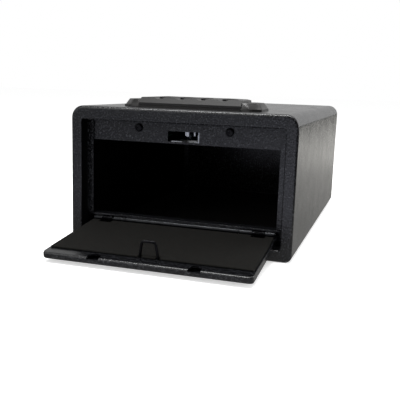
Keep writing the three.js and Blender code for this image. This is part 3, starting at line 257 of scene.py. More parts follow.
# Powder coat and moulded skin: pebbles for the bump, fine specks for the colour, patches for the gloss
def makeGrainGroup(settings):
    group, given, made = shaderGroup(
        "pebbledCoat",
        [("Position", "NodeSocketVector", None), ("Pebbles", "NodeSocketFloat", None),
         ("Speck Share", "NodeSocketFloat", None)],
        [("Height", "NodeSocketFloat"), ("Specks", "NodeSocketFloat"), ("Patches", "NodeSocketFloat")])
    nodes, links = group.nodes, group.links
    pebbles = nodes.new("ShaderNodeTexVoronoi")
    pebbles.feature = "SMOOTH_F1"
    pebbles.inputs["Smoothness"].default_value = settings["smoothness"]
    orange = noiseNode(nodes, detail=3, roughness=0.6)
    half = mathNode(nodes, "MULTIPLY", 0.5)
    height = mathNode(nodes, "MULTIPLY_ADD", settings["pebbleShare"])
    specks = noiseNode(nodes, detail=2, roughness=0.7)
    above = mapNode(nodes, 0, settings["specksFull"])
    patches = noiseNode(nodes, detail=4, roughness=0.55)
    patches.inputs["Scale"].default_value = settings["patches"]
    for texture in (pebbles, orange, specks, patches):
        links.new(given.outputs["Position"], texture.inputs["Vector"])
    feed(links, given, [
        ("Pebbles", pebbles.inputs["Scale"]), ("Pebbles", half.inputs[0]),
        ("Pebbles", specks.inputs["Scale"]), ("Speck Share", above.inputs["From Min"])])
    links.new(half.outputs[0], orange.inputs["Scale"])
    links.new(pebbles.outputs["Distance"], height.inputs[0])
    links.new(orange.outputs[0], height.inputs[2])
    links.new(specks.outputs[0], above.inputs["Value"])
    links.new(height.outputs[0], made.inputs["Height"])
    links.new(above.outputs[0], made.inputs["Specks"])
    links.new(patches.outputs[0], made.inputs["Patches"])
    return group


# Metal: drawn lines for the bump and the gloss, stains for the colour
def makeBrushGroup(settings):
    group, given, made = shaderGroup(
        "drawnLines",
        [("Position", "NodeSocketVector", None), ("Stretch", "NodeSocketVector", None),
         ("Stain", "NodeSocketFloat", settings["stain"])],
        [("Lines", "NodeSocketFloat"), ("Stains", "NodeSocketFloat")])
    nodes, links = group.nodes, group.links
    stretched = nodes.new("ShaderNodeVectorMath")
    stretched.operation = "MULTIPLY"
    lines = noiseNode(nodes, detail=3, roughness=0.65)
    lines.inputs["Scale"].default_value = 1
    stains = noiseNode(nodes, detail=4, roughness=0.6)
    feed(links, given, [
        ("Position", stretched.inputs[0]), ("Stretch", stretched.inputs[1]),
        ("Position", stains.inputs["Vector"]), ("Stain", stains.inputs["Scale"])])
    links.new(stretched.outputs[0], lines.inputs["Vector"])
    links.new(lines.outputs[0], made.inputs["Lines"])
    links.new(stains.outputs[0], made.inputs["Stains"])
    return group


# Felt: fine fibres over wider tufts
def makeNapGroup(settings):
    group, given, made = shaderGroup(
        "feltNap",
        [("Position", "NodeSocketVector", None), ("Fibre", "NodeSocketFloat", None),
         ("Tuft", "NodeSocketFloat", None)],
        [("Height", "NodeSocketFloat"), ("Fibres", "NodeSocketFloat")])
    nodes, links = group.nodes, group.links
    fibres = noiseNode(nodes, detail=5, roughness=0.75)
    fibres.inputs["Distortion"].default_value = settings["distortion"]
    tufts = noiseNode(nodes, detail=3, roughness=0.6)
    summed = mathNode(nodes, "MULTIPLY_ADD", settings["tuftShare"])
    feed(links, given, [
        ("Position", fibres.inputs["Vector"]), ("Position", tufts.inputs["Vector"]),
        ("Fibre", fibres.inputs["Scale"]), ("Tuft", tufts.inputs["Scale"])])
    links.new(tufts.outputs[0], summed.inputs[0])
    links.new(fibres.outputs[0], summed.inputs[2])
    links.new(summed.outputs[0], made.inputs["Height"])
    links.new(fibres.outputs[0], made.inputs["Fibres"])
    return group


pebbledCoat = makeGrainGroup(grainSettings)
drawnLines = makeBrushGroup(brushSettings)
feltNap = makeNapGroup(napSettings)


# Finishes

noiseSpread = (0.3, 0.7)  # the part of a noise that turns into a full change of gloss

coats = {
    "powder": {
        "dark": (0.0024, 0.0025, 0.0031), "light": (0.041, 0.043, 0.0485), "roughness": (0.19, 0.24),
        "pebbles": 700, "bump": 0.32, "share": 0.5, "specular": 0.6},
    # painted shade: the inner faces get a much darker, duller powder than the outside, standing in for the
    # shadow inside the cavity
    "cavityShadePowder": {
        "dark": (0.002, 0.002, 0.0024), "light": (0.0036, 0.0036, 0.0042), "roughness": (0.6, 0.75),
        "pebbles": 1500, "bump": 0.12, "share": 0.64, "specular": 0.07},
    "plastic": {
        "dark": (0.0105, 0.0098, 0.0092), "light": (0.021, 0.0197, 0.0185), "roughness": (0.28, 0.38),
        "pebbles": 2600, "bump": 0.06, "share": 0.66, "specular": 0.5},
    "trayPlastic": {
        "dark": (0.014, 0.014, 0.015), "light": (0.022, 0.022, 0.023), "roughness": (0.5, 0.6),
        "pebbles": 2200, "bump": 0.05, "share": 0.66, "specular": 0.4},
    "keyRubber": {
        "dark": (0.006, 0.006, 0.006), "light": (0.011, 0.011, 0.011), "roughness": (0.7, 0.82),
        "pebbles": 3000, "bump": 0.04, "share": 0.7, "specular": 0.3},
    "wireRubber": {
        "dark": (0.012, 0.012, 0.013), "light": (0.02, 0.02, 0.021), "roughness": (0.45, 0.55),
        "pebbles": 3000, "bump": 0.02, "share": 0.7, "specular": 0.4},
    "board": {
        "dark": (0.01, 0.06, 0.026), "light": (0.02, 0.095, 0.045), "roughness": (0.32, 0.42),
        "pebbles": 900, "bump": 0.02, "share": 0.6, "specular": 0.5},
    "cellSleeve": {
        "dark": (0.05, 0.06, 0.075), "light": (0.065, 0.075, 0.09), "roughness": (0.28, 0.36),
        "pebbles": 700, "bump": 0.01, "share": 0.7, "specular": 0.5},
}
metals = {
    "zinc": {"dark": (0.5, 0.52, 0.54), "light": (0.8, 0.82, 0.84), "roughness": (0.2, 0.42),
             "stretch": (1400, 90, 1400), "bump": 0.05},
    "hingeSteel": {"dark": (0.008, 0.008, 0.009), "light": (0.05, 0.052, 0.055), "roughness": (0.22, 0.4),
                   "stretch": (500, 1400, 1400), "bump": 0.06},
    "blackOxide": {"dark": (0.009, 0.009, 0.01), "light": (0.026, 0.026, 0.028), "roughness": (0.24, 0.4),
                   "stretch": (900, 900, 900), "bump": 0.04},
    "springWire": {"dark": (0.32, 0.32, 0.33), "light": (0.55, 0.55, 0.56), "roughness": (0.25, 0.4),
                   "stretch": (1200, 1200, 1200), "bump": 0.03},
    "copper": {"dark": (0.35, 0.13, 0.05), "light": (0.62, 0.27, 0.11), "roughness": (0.3, 0.42),
               "stretch": (200, 5200, 200), "bump": 0.35},
    "chrome": {"dark": (0.62, 0.63, 0.65), "light": (0.8, 0.81, 0.83), "roughness": (0.08, 0.2),
               "stretch": (500, 500, 500), "bump": 0.01},
}
felt = {
    "dark": (0.0022, 0.0021, 0.0019), "light": (0.0098, 0.0092, 0.0078), "fibre": 900, "tuft": 200,
    "spread": (0.4, 0.62), "bump": 0.5, "roughness": 0.95, "specular": 0.15, "sheen": 0.012,
}
lens = {"dark": (0.16, 0.01, 0.008), "light": (0.26, 0.02, 0.014), "cloud": 900, "roughness": 0.12}
bumpDepth = {"coat": 0.4, "metal": 0.2, "felt": 0.5}


def startMaterial(name):
    material = bpy.data.materials.new(name)
    material.use_nodes = True
    nodes, links = material.node_tree.nodes, material.node_tree.links
    surface = nodes["Principled BSDF"]
    where = nodes.new("ShaderNodeTexCoord")
    return material, nodes, links, surface, where


def placeGroup(nodes, group):
    placed = nodes.new("ShaderNodeGroup")
    placed.node_tree = group
    return placed


def colourFrom(nodes, links, surface, factor, settings):
    mix = nodes.new("ShaderNodeMix")
    mix.data_type = "RGBA"
    mix.inputs["A"].default_value = (*settings["dark"], 1)
    mix.inputs["B"].default_value = (*settings["light"], 1)
    links.new(factor, mix.inputs["Factor"])
    links.new(mix.outputs["Result"], surface.inputs["Base Color"])


def glossFrom(nodes, links, surface, factor, settings):
    rough = mapNode(nodes, *noiseSpread, *settings["roughness"])
    links.new(factor, rough.inputs["Value"])
    links.new(rough.outputs[0], surface.inputs["Roughness"])


def bumpFrom(nodes, links, surface, height, strength, depth):
    bump = nodes.new("ShaderNodeBump")
    bump.inputs["Strength"].default_value = strength
    bump.inputs["Distance"].default_value = depth * mm
    links.new(height, bump.inputs["Height"])
    links.new(bump.outputs[0], surface.inputs["Normal"])


def makeCoat(name, settings):
    material, nodes, links, surface, where = startMaterial(name)
    grain = placeGroup(nodes, pebbledCoat)
    grain.inputs["Pebbles"].default_value = settings["pebbles"]
    grain.inputs["Speck Share"].default_value = settings["share"]
    links.new(where.outputs["Object"], grain.inputs["Position"])
    colourFrom(nodes, links, surface, grain.outputs["Specks"], settings)
    glossFrom(nodes, links, surface, grain.outputs["Patches"], settings)
    bumpFrom(nodes, links, surface, grain.outputs["Height"], settings["bump"], bumpDepth["coat"])
    surface.inputs["Specular IOR Level"].default_value = settings["specular"]
    return material


def makeMetal(name, settings):
    material, nodes, links, surface, where = startMaterial(name)
    lines = placeGroup(nodes, drawnLines)
    lines.inputs["Stretch"].default_value = settings["stretch"]
    links.new(where.outputs["Object"], lines.inputs["Position"])
    colourFrom(nodes, links, surface, lines.outputs["Stains"], settings)
    glossFrom(nodes, links, surface, lines.outputs["Lines"], settings)
    bumpFrom(nodes, links, surface, lines.outputs["Lines"], settings["bump"], bumpDepth["metal"])
    surface.inputs["Metallic"].default_value = 1
    return material


def makeFelt(name, settings):
    material, nodes, links, surface, where = startMaterial(name)
    nap = placeGroup(nodes, feltNap)
    nap.inputs["Fibre"].default_value = settings["fibre"]
    nap.inputs["Tuft"].default_value = settings["tuft"]
    links.new(where.outputs["Object"], nap.inputs["Position"])
    spread = mapNode(nodes, *settings["spread"])
    links.new(nap.outputs["Fibres"], spread.inputs["Value"])
    colourFrom(nodes, links, surface, spread.outputs[0], settings)
    bumpFrom(nodes, links, surface, nap.outputs["Height"], settings["bump"], bumpDepth["felt"])
    surface.inputs["Roughness"].default_value = settings["roughness"]
    surface.inputs["Specular IOR Level"].default_value = settings["specular"]
    surface.inputs["Sheen Weight"].default_value = settings["sheen"]
    return material


def makeLens(name, settings):
    material, nodes, links, surface, where = startMaterial(name)
    cloud = noiseNode(nodes, detail=2, roughness=0.5)
    cloud.inputs["Scale"].default_value = settings["cloud"]
    links.new(where.outputs["Object"], cloud.inputs["Vector"])
    colourFrom(nodes, links, surface, cloud.outputs[0], settings)
    surface.inputs["Roughness"].default_value = settings["roughness"]
    return material


materials = {name: makeCoat(name, settings) for name, settings in coats.items()}
materials.update({name: makeMetal(name, settings) for name, settings in metals.items()})
materials["felt"] = makeFelt("felt", felt)
materials["lens"] = makeLens("lens", lens)
print("finishes ready:", len(materials))


# Making and placing pieces

shadeSettings = {"angle": 32, "weight": 90}
bevelSettings = {"segments": 2, "angle": 38}
weldSettings = {"distance": 0.001, "flatAngle": 0.6}


def linkMesh(name, mesh):
    piece = bpy.data.objects.new(name, mesh)
    bpy.context.scene.collection.objects.link(piece)
    return piece


def bakeModifiers(piece):
    settled = bpy.data.meshes.new_from_object(piece.evaluated_get(bpy.context.evaluated_depsgraph_get()))
    piece.modifiers.clear()
    piece.data = settled


def softenShade(piece, angle=shadeSettings["angle"]):
    piece.data.shade_smooth()
    piece.data.set_sharp_from_angle(angle=math.radians(angle))
    evened = piece.modifiers.new("evenedNormals", "WEIGHTED_NORMAL")
    evened.keep_sharp = True
    evened.weight = shadeSettings["weight"]
    bakeModifiers(piece)


def roundEdges(piece, width, segments=bevelSettings["segments"]):
    bevel = piece.modifiers.new("roundEdges", "BEVEL")
    bevel.width = width * mm
    bevel.segments = segments
    bevel.limit_method = "ANGLE"
    bevel.angle_limit = math.radians(bevelSettings["angle"])
    bakeModifiers(piece)


# A finished piece gets its finish, rides on the body of its nodes and stands for them
def dressPiece(piece, finish, nodes):
    piece.data.materials.clear()
    piece.data.materials.append(materials[finish])
    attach(piece, bodyOfNode[nodes[0]])
    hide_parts(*nodes)


# A node's triangles are welded, and its flat faces made whole again, before anything is rounded
def copyOfNode(node, name):
    mesh = frame["nodes"][node].data.copy()
    mesh.name = name
    flat = math.radians(weldSettings["flatAngle"])
    solid = bmesh.new()
    solid.from_mesh(mesh)
    bmesh.ops.remove_doubles(solid, verts=solid.verts, dist=weldSettings["distance"] * mm)
    bmesh.ops.dissolve_limit(solid, angle_limit=flat, verts=solid.verts, edges=solid.edges)
    solid.to_mesh(mesh)
    solid.free()
    return linkMesh(name, mesh)


def camelName(node):
    words = node.split("_")
    return words[0] + "".join(word.capitalize() for word in words[1:])


# Geometry Nodes trees: a round wire along a drawn line, screws in rows, turns of a winding

treeSettings = {"wireSides": 14, "bendSteps": 6, "turnSides": 40, "windingSides": 6}


def startTree(name, inputs):
    tree = bpy.data.node_groups.new(name, "GeometryNodeTree")
    tree.is_modifier = True
    tree.interface.new_socket(name="Geometry", in_out="INPUT", socket_type="NodeSocketGeometry")
    for label, kind, value in inputs:
        socket = tree.interface.new_socket(name=label, in_out="INPUT", socket_type=kind)
        if value is not None:
            socket.default_value = value
    tree.interface.new_socket(name="Geometry", in_out="OUTPUT", socket_type="NodeSocketGeometry")
    return tree, tree.nodes.new("NodeGroupInput"), tree.nodes.new("NodeGroupOutput")


def endTree(tree, given, made, geometry):
    realised = tree.nodes.new("GeometryNodeRealizeInstances")
    coated = tree.nodes.new("GeometryNodeSetMaterial")
    tree.links.new(geometry, realised.inputs[0])
    tree.links.new(realised.outputs[0], coated.inputs["Geometry"])
    tree.links.new(given.outputs["Finish"], coated.inputs["Material"])
    tree.links.new(coated.outputs[0], made.inputs[0])


def makeWireTree(settings):
    tree, given, made = startTree("wireAlongLine", [
        ("Thickness", "NodeSocketFloat", None), ("Bend", "NodeSocketFloat", None),
        ("Sides", "NodeSocketInt", settings["wireSides"]), ("Finish", "NodeSocketMaterial", None)])
    nodes, links = tree.nodes, tree.links
    line = nodes.new("GeometryNodeMeshToCurve")
    bent = nodes.new("GeometryNodeFilletCurve")
    half = mathNode(nodes, "MULTIPLY", 0.5)
    ring = nodes.new("GeometryNodeCurvePrimitiveCircle")
    swept = nodes.new("GeometryNodeCurveToMesh")
    smooth = nodes.new("GeometryNodeSetShadeSmooth")
    bent.mode = "POLY"
    bent.inputs["Count"].default_value = settings["bendSteps"]
    bent.inputs["Limit Radius"].default_value = True
    swept.inputs["Fill Caps"].default_value = True
    feed(links, given, [
        ("Geometry", line.inputs[0]), ("Bend", bent.inputs["Radius"]),
        ("Thickness", half.inputs[0]), ("Sides", ring.inputs["Resolution"])])
    links.new(line.outputs[0], bent.inputs["Curve"])
    links.new(half.outputs[0], ring.inputs["Radius"])
    links.new(bent.outputs[0], swept.inputs["Curve"])
    links.new(ring.outputs["Curve"], swept.inputs["Profile Curve"])
    links.new(swept.outputs[0], smooth.inputs[0])
    endTree(tree, given, made, smooth.outputs[0])
    return tree


def makeRowsTree():
    tree, given, made = startTree("screwsInRows", [
        ("Count", "NodeSocketInt", 2), ("Rows", "NodeSocketInt", 1),
        ("First Place", "NodeSocketVector", None), ("Step", "NodeSocketVector", None),
        ("Row Step", "NodeSocketVector", None), ("Finish", "NodeSocketMaterial", None)])
    nodes, links = tree.nodes, tree.links
    across = nodes.new("GeometryNodeMeshLine")
    along = nodes.new("GeometryNodeMeshLine")
    grid = nodes.new("GeometryNodeInstanceOnPoints")
    points = nodes.new("GeometryNodeRealizeInstances")
    placed = nodes.new("GeometryNodeInstanceOnPoints")
    feed(links, given, [
        ("Count", across.inputs["Count"]), ("First Place", across.inputs["Start Location"]),
        ("Step", across.inputs["Offset"]), ("Rows", along.inputs["Count"]),
        ("Row Step", along.inputs["Offset"]), ("Geometry", placed.inputs["Instance"])])
    links.new(along.outputs[0], grid.inputs["Points"])
    links.new(across.outputs[0], grid.inputs["Instance"])
    links.new(grid.outputs[0], points.inputs[0])
    links.new(points.outputs[0], placed.inputs["Points"])
    endTree(tree, given, made, placed.outputs[0])
    return tree


def makeWindingTree(settings):
    tree, given, made = startTree("woundTurns", [
        ("Turns", "NodeSocketInt", 1), ("First Turn", "NodeSocketVector", None),
        ("Pitch", "NodeSocketVector", None), ("Radius", "NodeSocketFloat", None),
        ("Wire", "NodeSocketFloat", None), ("Finish", "NodeSocketMaterial", None)])
    nodes, links = tree.nodes, tree.links
    places = nodes.new("GeometryNodeMeshLine")
    turn = nodes.new("GeometryNodeCurvePrimitiveCircle")
    turn.inputs["Resolution"].default_value = settings["turnSides"]
    wire = nodes.new("GeometryNodeCurvePrimitiveCircle")
    wire.inputs["Resolution"].default_value = settings["windingSides"]
    ring = nodes.new("GeometryNodeCurveToMesh")
    smooth = nodes.new("GeometryNodeSetShadeSmooth")
    upright = nodes.new("GeometryNodeTransform")
    upright.inputs["Rotation"].default_value = (math.pi / 2, 0, 0)
    placed = nodes.new("GeometryNodeInstanceOnPoints")
    core = nodes.new("GeometryNodeJoinGeometry")
    feed(links, given, [
        ("Turns", places.inputs["Count"]), ("First Turn", places.inputs["Start Location"]),
        ("Pitch", places.inputs["Offset"]), ("Radius", turn.inputs["Radius"]),
        ("Wire", wire.inputs["Radius"])])
    links.new(turn.outputs["Curve"], ring.inputs["Curve"])
    links.new(wire.outputs["Curve"], ring.inputs["Profile Curve"])
    links.new(ring.outputs[0], smooth.inputs[0])
    links.new(smooth.outputs[0], upright.inputs[0])
    links.new(places.outputs[0], placed.inputs["Points"])
    links.new(upright.outputs[0], placed.inputs["Instance"])
    links.new(placed.outputs[0], core.inputs[0])
    links.new(given.outputs["Geometry"], core.inputs[0])
    endTree(tree, given, made, core.outputs[0])
    return tree


wireAlongLine = makeWireTree(treeSettings)
screwsInRows = makeRowsTree()
woundTurns = makeWindingTree(treeSettings)


# The tree's inputs are set by their names here, and by the sockets' own identifiers on the modifier
def runTree(piece, tree, values):
    grown = piece.modifiers.new(tree.name, "NODES")
    grown.node_group = tree
    for item in tree.interface.items_tree:
        if item.item_type == "SOCKET" and item.in_out == "INPUT" and item.name in values:
            grown[item.identifier] = values[item.name]
    bakeModifiers(piece)
    return piece


print("geometry trees ready")


# Lofting: rings of equally many points, joined by quads

frontToMiddle = 160
past = 1  # how far a cutter stands out of what it cuts


def at(x, y, z):
    return Vector((x, y - frontToMiddle, z)) * mm


def meshFrom(name, solid):
    mesh = bpy.data.meshes.new(name)
    solid.to_mesh(mesh)
    solid.free()
    return linkMesh(name, mesh)


def loftRings(name, rings, closed=False, capped=False):
    solid = bmesh.new()
    rows = [[solid.verts.new(point) for point in ring] for ring in rings]
    pairs = list(zip(rows, rows[1:])) + ([(rows[-1], rows[0])] if closed else [])
    for low, high in pairs:
        for i in range(len(low)):
            j = (i + 1) % len(low)
            solid.faces.new((low[i], low[j], high[j], high[i]))
    if capped:
        solid.faces.new(rows[0])
        solid.faces.new(rows[-1])
    bmesh.ops.recalc_face_normals(solid, faces=solid.faces)
    return meshFrom(name, solid)


# How far in and how far back a rounded edge runs, from its side to its front
def quarterRound(radius, steps):
    angles = [math.pi / 2 * step / steps for step in range(steps + 1)]
    return [(radius * (1 - math.cos(a)), radius * (1 - math.sin(a))) for a in angles]


def cutAway(piece, cutters):
    for cutter in cutters:
        cutting = piece.modifiers.new("cut", "BOOLEAN")
        cutting.operation = "DIFFERENCE"
        cutting.solver = "EXACT"
        cutting.object = cutter
        bakeModifiers(piece)
    for cutter in cutters:
        mesh = cutter.data
        bpy.data.objects.remove(cutter)
        bpy.data.meshes.remove(mesh)


def roundCutters(name, places, radius, low, high, sides=32):
    solid = bmesh.new()
    for x, y in places:
        ring = bmesh.ops.create_cone(
            solid, cap_ends=True, segments=sides, radius1=radius * mm, radius2=radius * mm,
            depth=(high - low) * mm)
        bmesh.ops.translate(solid, verts=ring["verts"], vec=at(x, y, (low + high) / 2))
    return meshFrom(name, solid)


def boxCutter(name, low, high, place=at):
    across, along, upward = zip(low, high)
    corners = [place(x, y, z) for z in upward for y in along for x in across]
    solid = bmesh.new()
    verts = [solid.verts.new(corner) for corner in corners]
    for face in ((0, 2, 3, 1), (4, 5, 7, 6), (0, 1, 5, 4), (2, 6, 7, 3), (0, 4, 6, 2), (1, 3, 7, 5)):
        solid.faces.new([verts[i] for i in face])
    bmesh.ops.recalc_face_normals(solid, faces=solid.faces)
    return meshFrom(name, solid)


# The case: one sheet round the sides, rolled over the front edge, in to the opening and back inside

caseSizes = {
    "half": 102.5, "height": 123.5, "depth": 320, "sheet": 1.5,
    "topRadius": 11, "bottomRadius": 6, "frontRound": 2.5,
    "openingHalf": 92.3, "openingLow": 10.4, "openingTop": 111.7, "openingRadius": 2, "openingRound": 1.2,
    "rearRound": 0.35, "cornerSteps": 14, "frontSteps": 8, "openingSteps": 5,
    "baseHoles": [(x, y) for x in (-72.5, 72.5) for y in (60, 260)], "baseHole": 4,
    "topHoles": [(-86, 208), (86, 208)], "topHole": 3.5,
    "padHoles": [(x, y) for x in (-53.6, 53.6) for y in (39, 57)], "padHole": 1.8, "padHoleSides": 20,
    "cableHole": ((-41, 58.9), (-27, 62.9)), "middle": 61.7,
    "insideFrom": 0.9, "leastIn": 1, "leastBack": 0.9,
}


def windowRing(half, low, high, lowRadius, highRadius, y, steps):
    wideHigh, wideLow = half - highRadius, half - lowRadius
    corners = [(wideHigh, high - highRadius, highRadius, 0), (-wideHigh, high - highRadius, highRadius, 90),
               (-wideLow, low + lowRadius, lowRadius, 180), (wideLow, low + lowRadius, lowRadius, 270)]
    ring = []
    for x, z, radius, start in corners:
        for step in range(steps + 1):
            angle = math.radians(start + 90 * step / steps)
            ring.append(at(x + radius * math.cos(angle), y, z + radius * math.sin(angle)))
    return ring


def makeCaseShell(sizes):
    steps = sizes["cornerSteps"]

    def tube(inset, y):
        return windowRing(sizes["half"] - inset, inset, sizes["height"] - inset,
                          sizes["bottomRadius"] - inset, sizes["topRadius"] - inset, y, steps)

    def opening(outset, y):
        radius = sizes["openingRadius"] + outset
        return windowRing(sizes["openingHalf"] + outset, sizes["openingLow"] - outset,
                          sizes["openingTop"] + outset, radius, radius, y, steps)

    sheet, depth, rear = sizes["sheet"], sizes["depth"], sizes["rearRound"]
    rings = [tube(rear, depth), tube(0, depth - rear)]
    rings += [tube(inset, y) for inset, y in quarterRound(sizes["frontRound"], sizes["frontSteps"])]
    rings += [opening(out, y) for y, out in quarterRound(sizes["openingRound"], sizes["openingSteps"])]
    rings += [opening(0, sheet), tube(sheet, sheet), tube(sheet, depth - rear), tube(sheet - rear, depth)]
    case = loftRings("caseShell", rings, closed=True)
    top, ceiling = sizes["height"], sizes["height"] - sheet
    low, high = ceiling - past, top + past
    cableLow, cableHigh = sizes["cableHole"]
    cutAway(case, [
        roundCutters("baseHoles", sizes["baseHoles"], sizes["baseHole"], -past, sheet + past),
        roundCutters("topHoles", sizes["topHoles"], sizes["topHole"], low, high),
        roundCutters("padHoles", sizes["padHoles"], sizes["padHole"], low, high, sizes["padHoleSides"]),
        boxCutter("cableHole", (*cableLow, low), (*cableHigh, high)),
    ])
    return case


# Faces inside the case and the jamb get the darker cavity powder: painted shade for the shadow in the cavity
def paintShadeInside(piece, finish, inside):  # spot in millimetres from the middle, facing a unit vector
    piece.data.materials.append(materials[finish])
    for face in piece.data.polygons:
        if inside(face.center / mm, face.normal):
            face.material_index = 1


def isInsideCase(spot, facing):
    behindEdge = spot.y > caseSizes["insideFrom"] - frontToMiddle
    facesIn = facing.x * spot.x + facing.z * (spot.z - caseSizes["middle"]) < -caseSizes["leastIn"]
    isBackOfFront = facing.y > caseSizes["leastBack"] and spot.y < 0
    return behindEdge and (facesIn or isBackOfFront)


caseShell = makeCaseShell(caseSizes)
softenShade(caseShell)
dressPiece(caseShell, "powder", ["outer_case"])
paintShadeInside(caseShell, "cavityShadePowder", isInsideCase)
print("case shell:", len(caseShell.data.polygons), "faces")


# The door pan lies open at its hinge: its own frame has x across, reach away from the hinge, rise above it

doorSizes = {
    "hinge": (13.5, 20), "open": 6, "half": 87.3, "length": 90.9, "rim": 1.8, "low": 7.84, "roll": 9.1,
    "tipRound": 1.9, "lowRound": 2.6, "leastRound": 0.3, "planCorner": 4, "sideRound": 0.9, "sheet": 1.5,
    "flange": 16, "flangeOverlap": 0.5, "hingeRoom": 3.1, "floor": 6.34,
    "notchAcross": 42, "notchReach": 86.6, "notchRadius": 5.2, "notchSpare": 0.3, "notchSteps": 16,
    "roundSteps": 8, "rollSteps": 12, "cornerSteps": 10, "sideSteps": 5, "smooth": 40,
}


def onDoor(x, reach, rise):
    turn = math.radians(doorSizes["open"])
    y, z = doorSizes["hinge"]
    return at(x, y - reach * math.cos(turn) - rise * math.sin(turn),
              z - reach * math.sin(turn) + rise * math.cos(turn))


def doorSection(sizes, x, inset, tipShift):
    tip = sizes["length"] - tipShift - inset
    rim, low, roll = sizes["rim"] + inset, sizes["low"] - inset, sizes["roll"] - inset
    upper, lower = (max(sizes[name] - inset, sizes["leastRound"]) for name in ("tipRound", "lowRound"))
    start, end = math.asin(rim / roll), math.asin(low / roll)
    rounds, rolls = sizes["roundSteps"], sizes["rollSteps"]
    points = []
    for step in range(rounds + 1):
        angle = math.pi / 2 * (1 - step / rounds)
        points.append((tip - upper + upper * math.cos(angle), -rim - upper + upper * math.sin(angle)))
    for step in range(rounds + 1):
        angle = -math.pi / 2 * step / rounds
        points.append((tip - lower + lower * math.cos(angle), -low + lower + lower * math.sin(angle)))
    for step in range(rolls + 1):
        angle = end + (start - end) * step / rolls
        points.append((-roll * math.cos(angle), -roll * math.sin(angle)))
    return [onDoor(x, reach, rise) for reach, rise in points]


def dropOfRound(radius, offset):  # how far a rounded corner falls back at an offset from its end
    return radius - math.sqrt(max(radius ** 2 - (radius - offset) ** 2, 0)) if offset < radius else 0


def makeDoorShell(sizes):
    half, corner, edge = sizes["half"], sizes["planCorner"], sizes["sideRound"]
    corners, sides = sizes["cornerSteps"], sizes["sideSteps"]
    offsets = {0.0, corner}
    offsets |= {corner * (1 - math.cos(math.pi / 2 * step / corners)) for step in range(corners + 1)}
    offsets |= {edge * (1 - math.sin(math.pi / 2 * step / sides)) for step in range(sides + 1)}
    stations = [(half - offset, dropOfRound(edge, offset), dropOfRound(corner, offset))
                for offset in sorted(offsets)]
    both = [(-x, inset, shift) for x, inset, shift in stations] + stations[::-1]
    door = loftRings("doorShell", [doorSection(sizes, *station) for station in both], capped=True)
    wide, reach, sheet = half - sizes["sheet"], sizes["length"], sizes["sheet"]
    flange, floor, underRim = reach - sizes["flange"], -sizes["floor"], -sizes["rim"] - sheet
    cutters = [boxCutter("doorHollow", (-wide, -sizes["hingeRoom"], floor), (wide, flange, past), onDoor),
               boxCutter("underFlange", (-wide, flange - sizes["flangeOverlap"], floor),
                         (wide, reach - sheet, underRim), onDoor)]
    radius, steps = sizes["notchRadius"], sizes["notchSteps"]
    for middle in (-sizes["notchAcross"], sizes["notchAcross"]):
        angles = [math.pi * step / steps for step in range(steps + 1)]
        shape = [(middle + radius * math.cos(angle), sizes["notchReach"] - radius * math.sin(angle))
                 for angle in angles]
        shape += [(middle - radius, reach + 2 * past), (middle + radius, reach + 2 * past)]
        rises = (underRim - sizes["notchSpare"], past)
        rings = [[onDoor(x, out, rise) for x, out in shape] for rise in rises]
        cutters.append(loftRings("notch", rings, capped=True))
    cutAway(door, cutters)
    return door


doorShell = makeDoorShell(doorSizes)
softenShade(doorShell, doorSizes["smooth"])
dressPiece(doorShell, "powder", ["door_pan"])
print("door pan:", len(doorShell.data.polygons), "faces")


# Felt-faced foam: the door's liner and the mat in the cavity

padSizes = {"edge": 0.9, "edgeSteps": 3, "cell": 7, "ripple": 0.16, "rippleScale": 45, "smooth": 50}


def sliceInCells(piece, cell):
    solid = bmesh.new()
    solid.from_mesh(piece.data)
    for axis in (0, 1):
        places = [vertex.co[axis] for vertex in solid.verts]
        low, high = min(places), max(places)
        count = math.ceil((high - low) / (cell * mm))
        across = Vector((axis == 0, axis == 1, 0))
        for step in range(1, count):
            place = across * (low + (high - low) * step / count)
            everything = solid.verts[:] + solid.edges[:] + solid.faces[:]
            bmesh.ops.bisect_plane(solid, geom=everything, plane_co=place, plane_no=across)
    solid.to_mesh(piece.data)
    solid.free()


def makeFoamPad(node, name, sizes):
    pad = copyOfNode(node, name)
    roundEdges(pad, sizes["edge"], sizes["edgeSteps"])
    sliceInCells(pad, sizes["cell"])
    normals = [vertex.normal.copy() for vertex in pad.data.vertices]
    for vertex, normal in zip(pad.data.vertices, normals):
        wave = noise.noise(vertex.co * sizes["rippleScale"]) * 0.5 - 0.5  # only inwards
        vertex.co += normal * wave * sizes["ripple"] * mm
    softenShade(pad, sizes["smooth"])
    return pad


for node, name in (("door_liner", "doorLiner"), ("floor_pad", "floorMat")):
    pad = makeFoamPad(node, name, padSizes)
    dressPiece(pad, "felt", [node])
    print(name, len(pad.data.polygons), "faces")


# Wires: the striker loop and the torsion springs

strikerLoop = {
    "node": "striker_loop", "finish": "blackOxide", "thickness": 2.3, "bend": 2.8, "sides": 20,
    "across": 1, "reach": 78, "rootHalf": 7.6, "topHalf": 5.6, "root": -4.3, "bendRise": 0.2, "top": 12,
}
doorSpring = {
    "finish": "blackOxide", "thickness": 0.9, "bend": 0.5, "sides": 8,
    "radius": 2.05, "turns": 6, "centre": doorSizes["hinge"], "leg": 5,
}
springs = {
    "doorSpringLeft": {"node": "door_spring_left", "ends": (-76.25, -67.25), **doorSpring},
    "doorSpringRight": {"node": "door_spring_right", "ends": (76.25, 67.25), **doorSpring},
    "latchSpring": {
        "node": "latch_spring", "finish": "springWire", "thickness": 0.7, "bend": 0.4, "sides": 8,
        "radius": 3, "ends": (7.72, 4.88), "turns": 2, "centre": (44, 103), "leg": 4},
}
stepsPerTurn = 20


def strikerPoints(line):
    root, top = line["rootHalf"], line["topHalf"]
    left = [(-root, line["root"]), (-root, line["bendRise"]), (-top, line["top"])]
    places = left + [(-x, rise) for x, rise in reversed(left)]
    return [onDoor(line["across"] + x, line["reach"], rise) for x, rise in places]


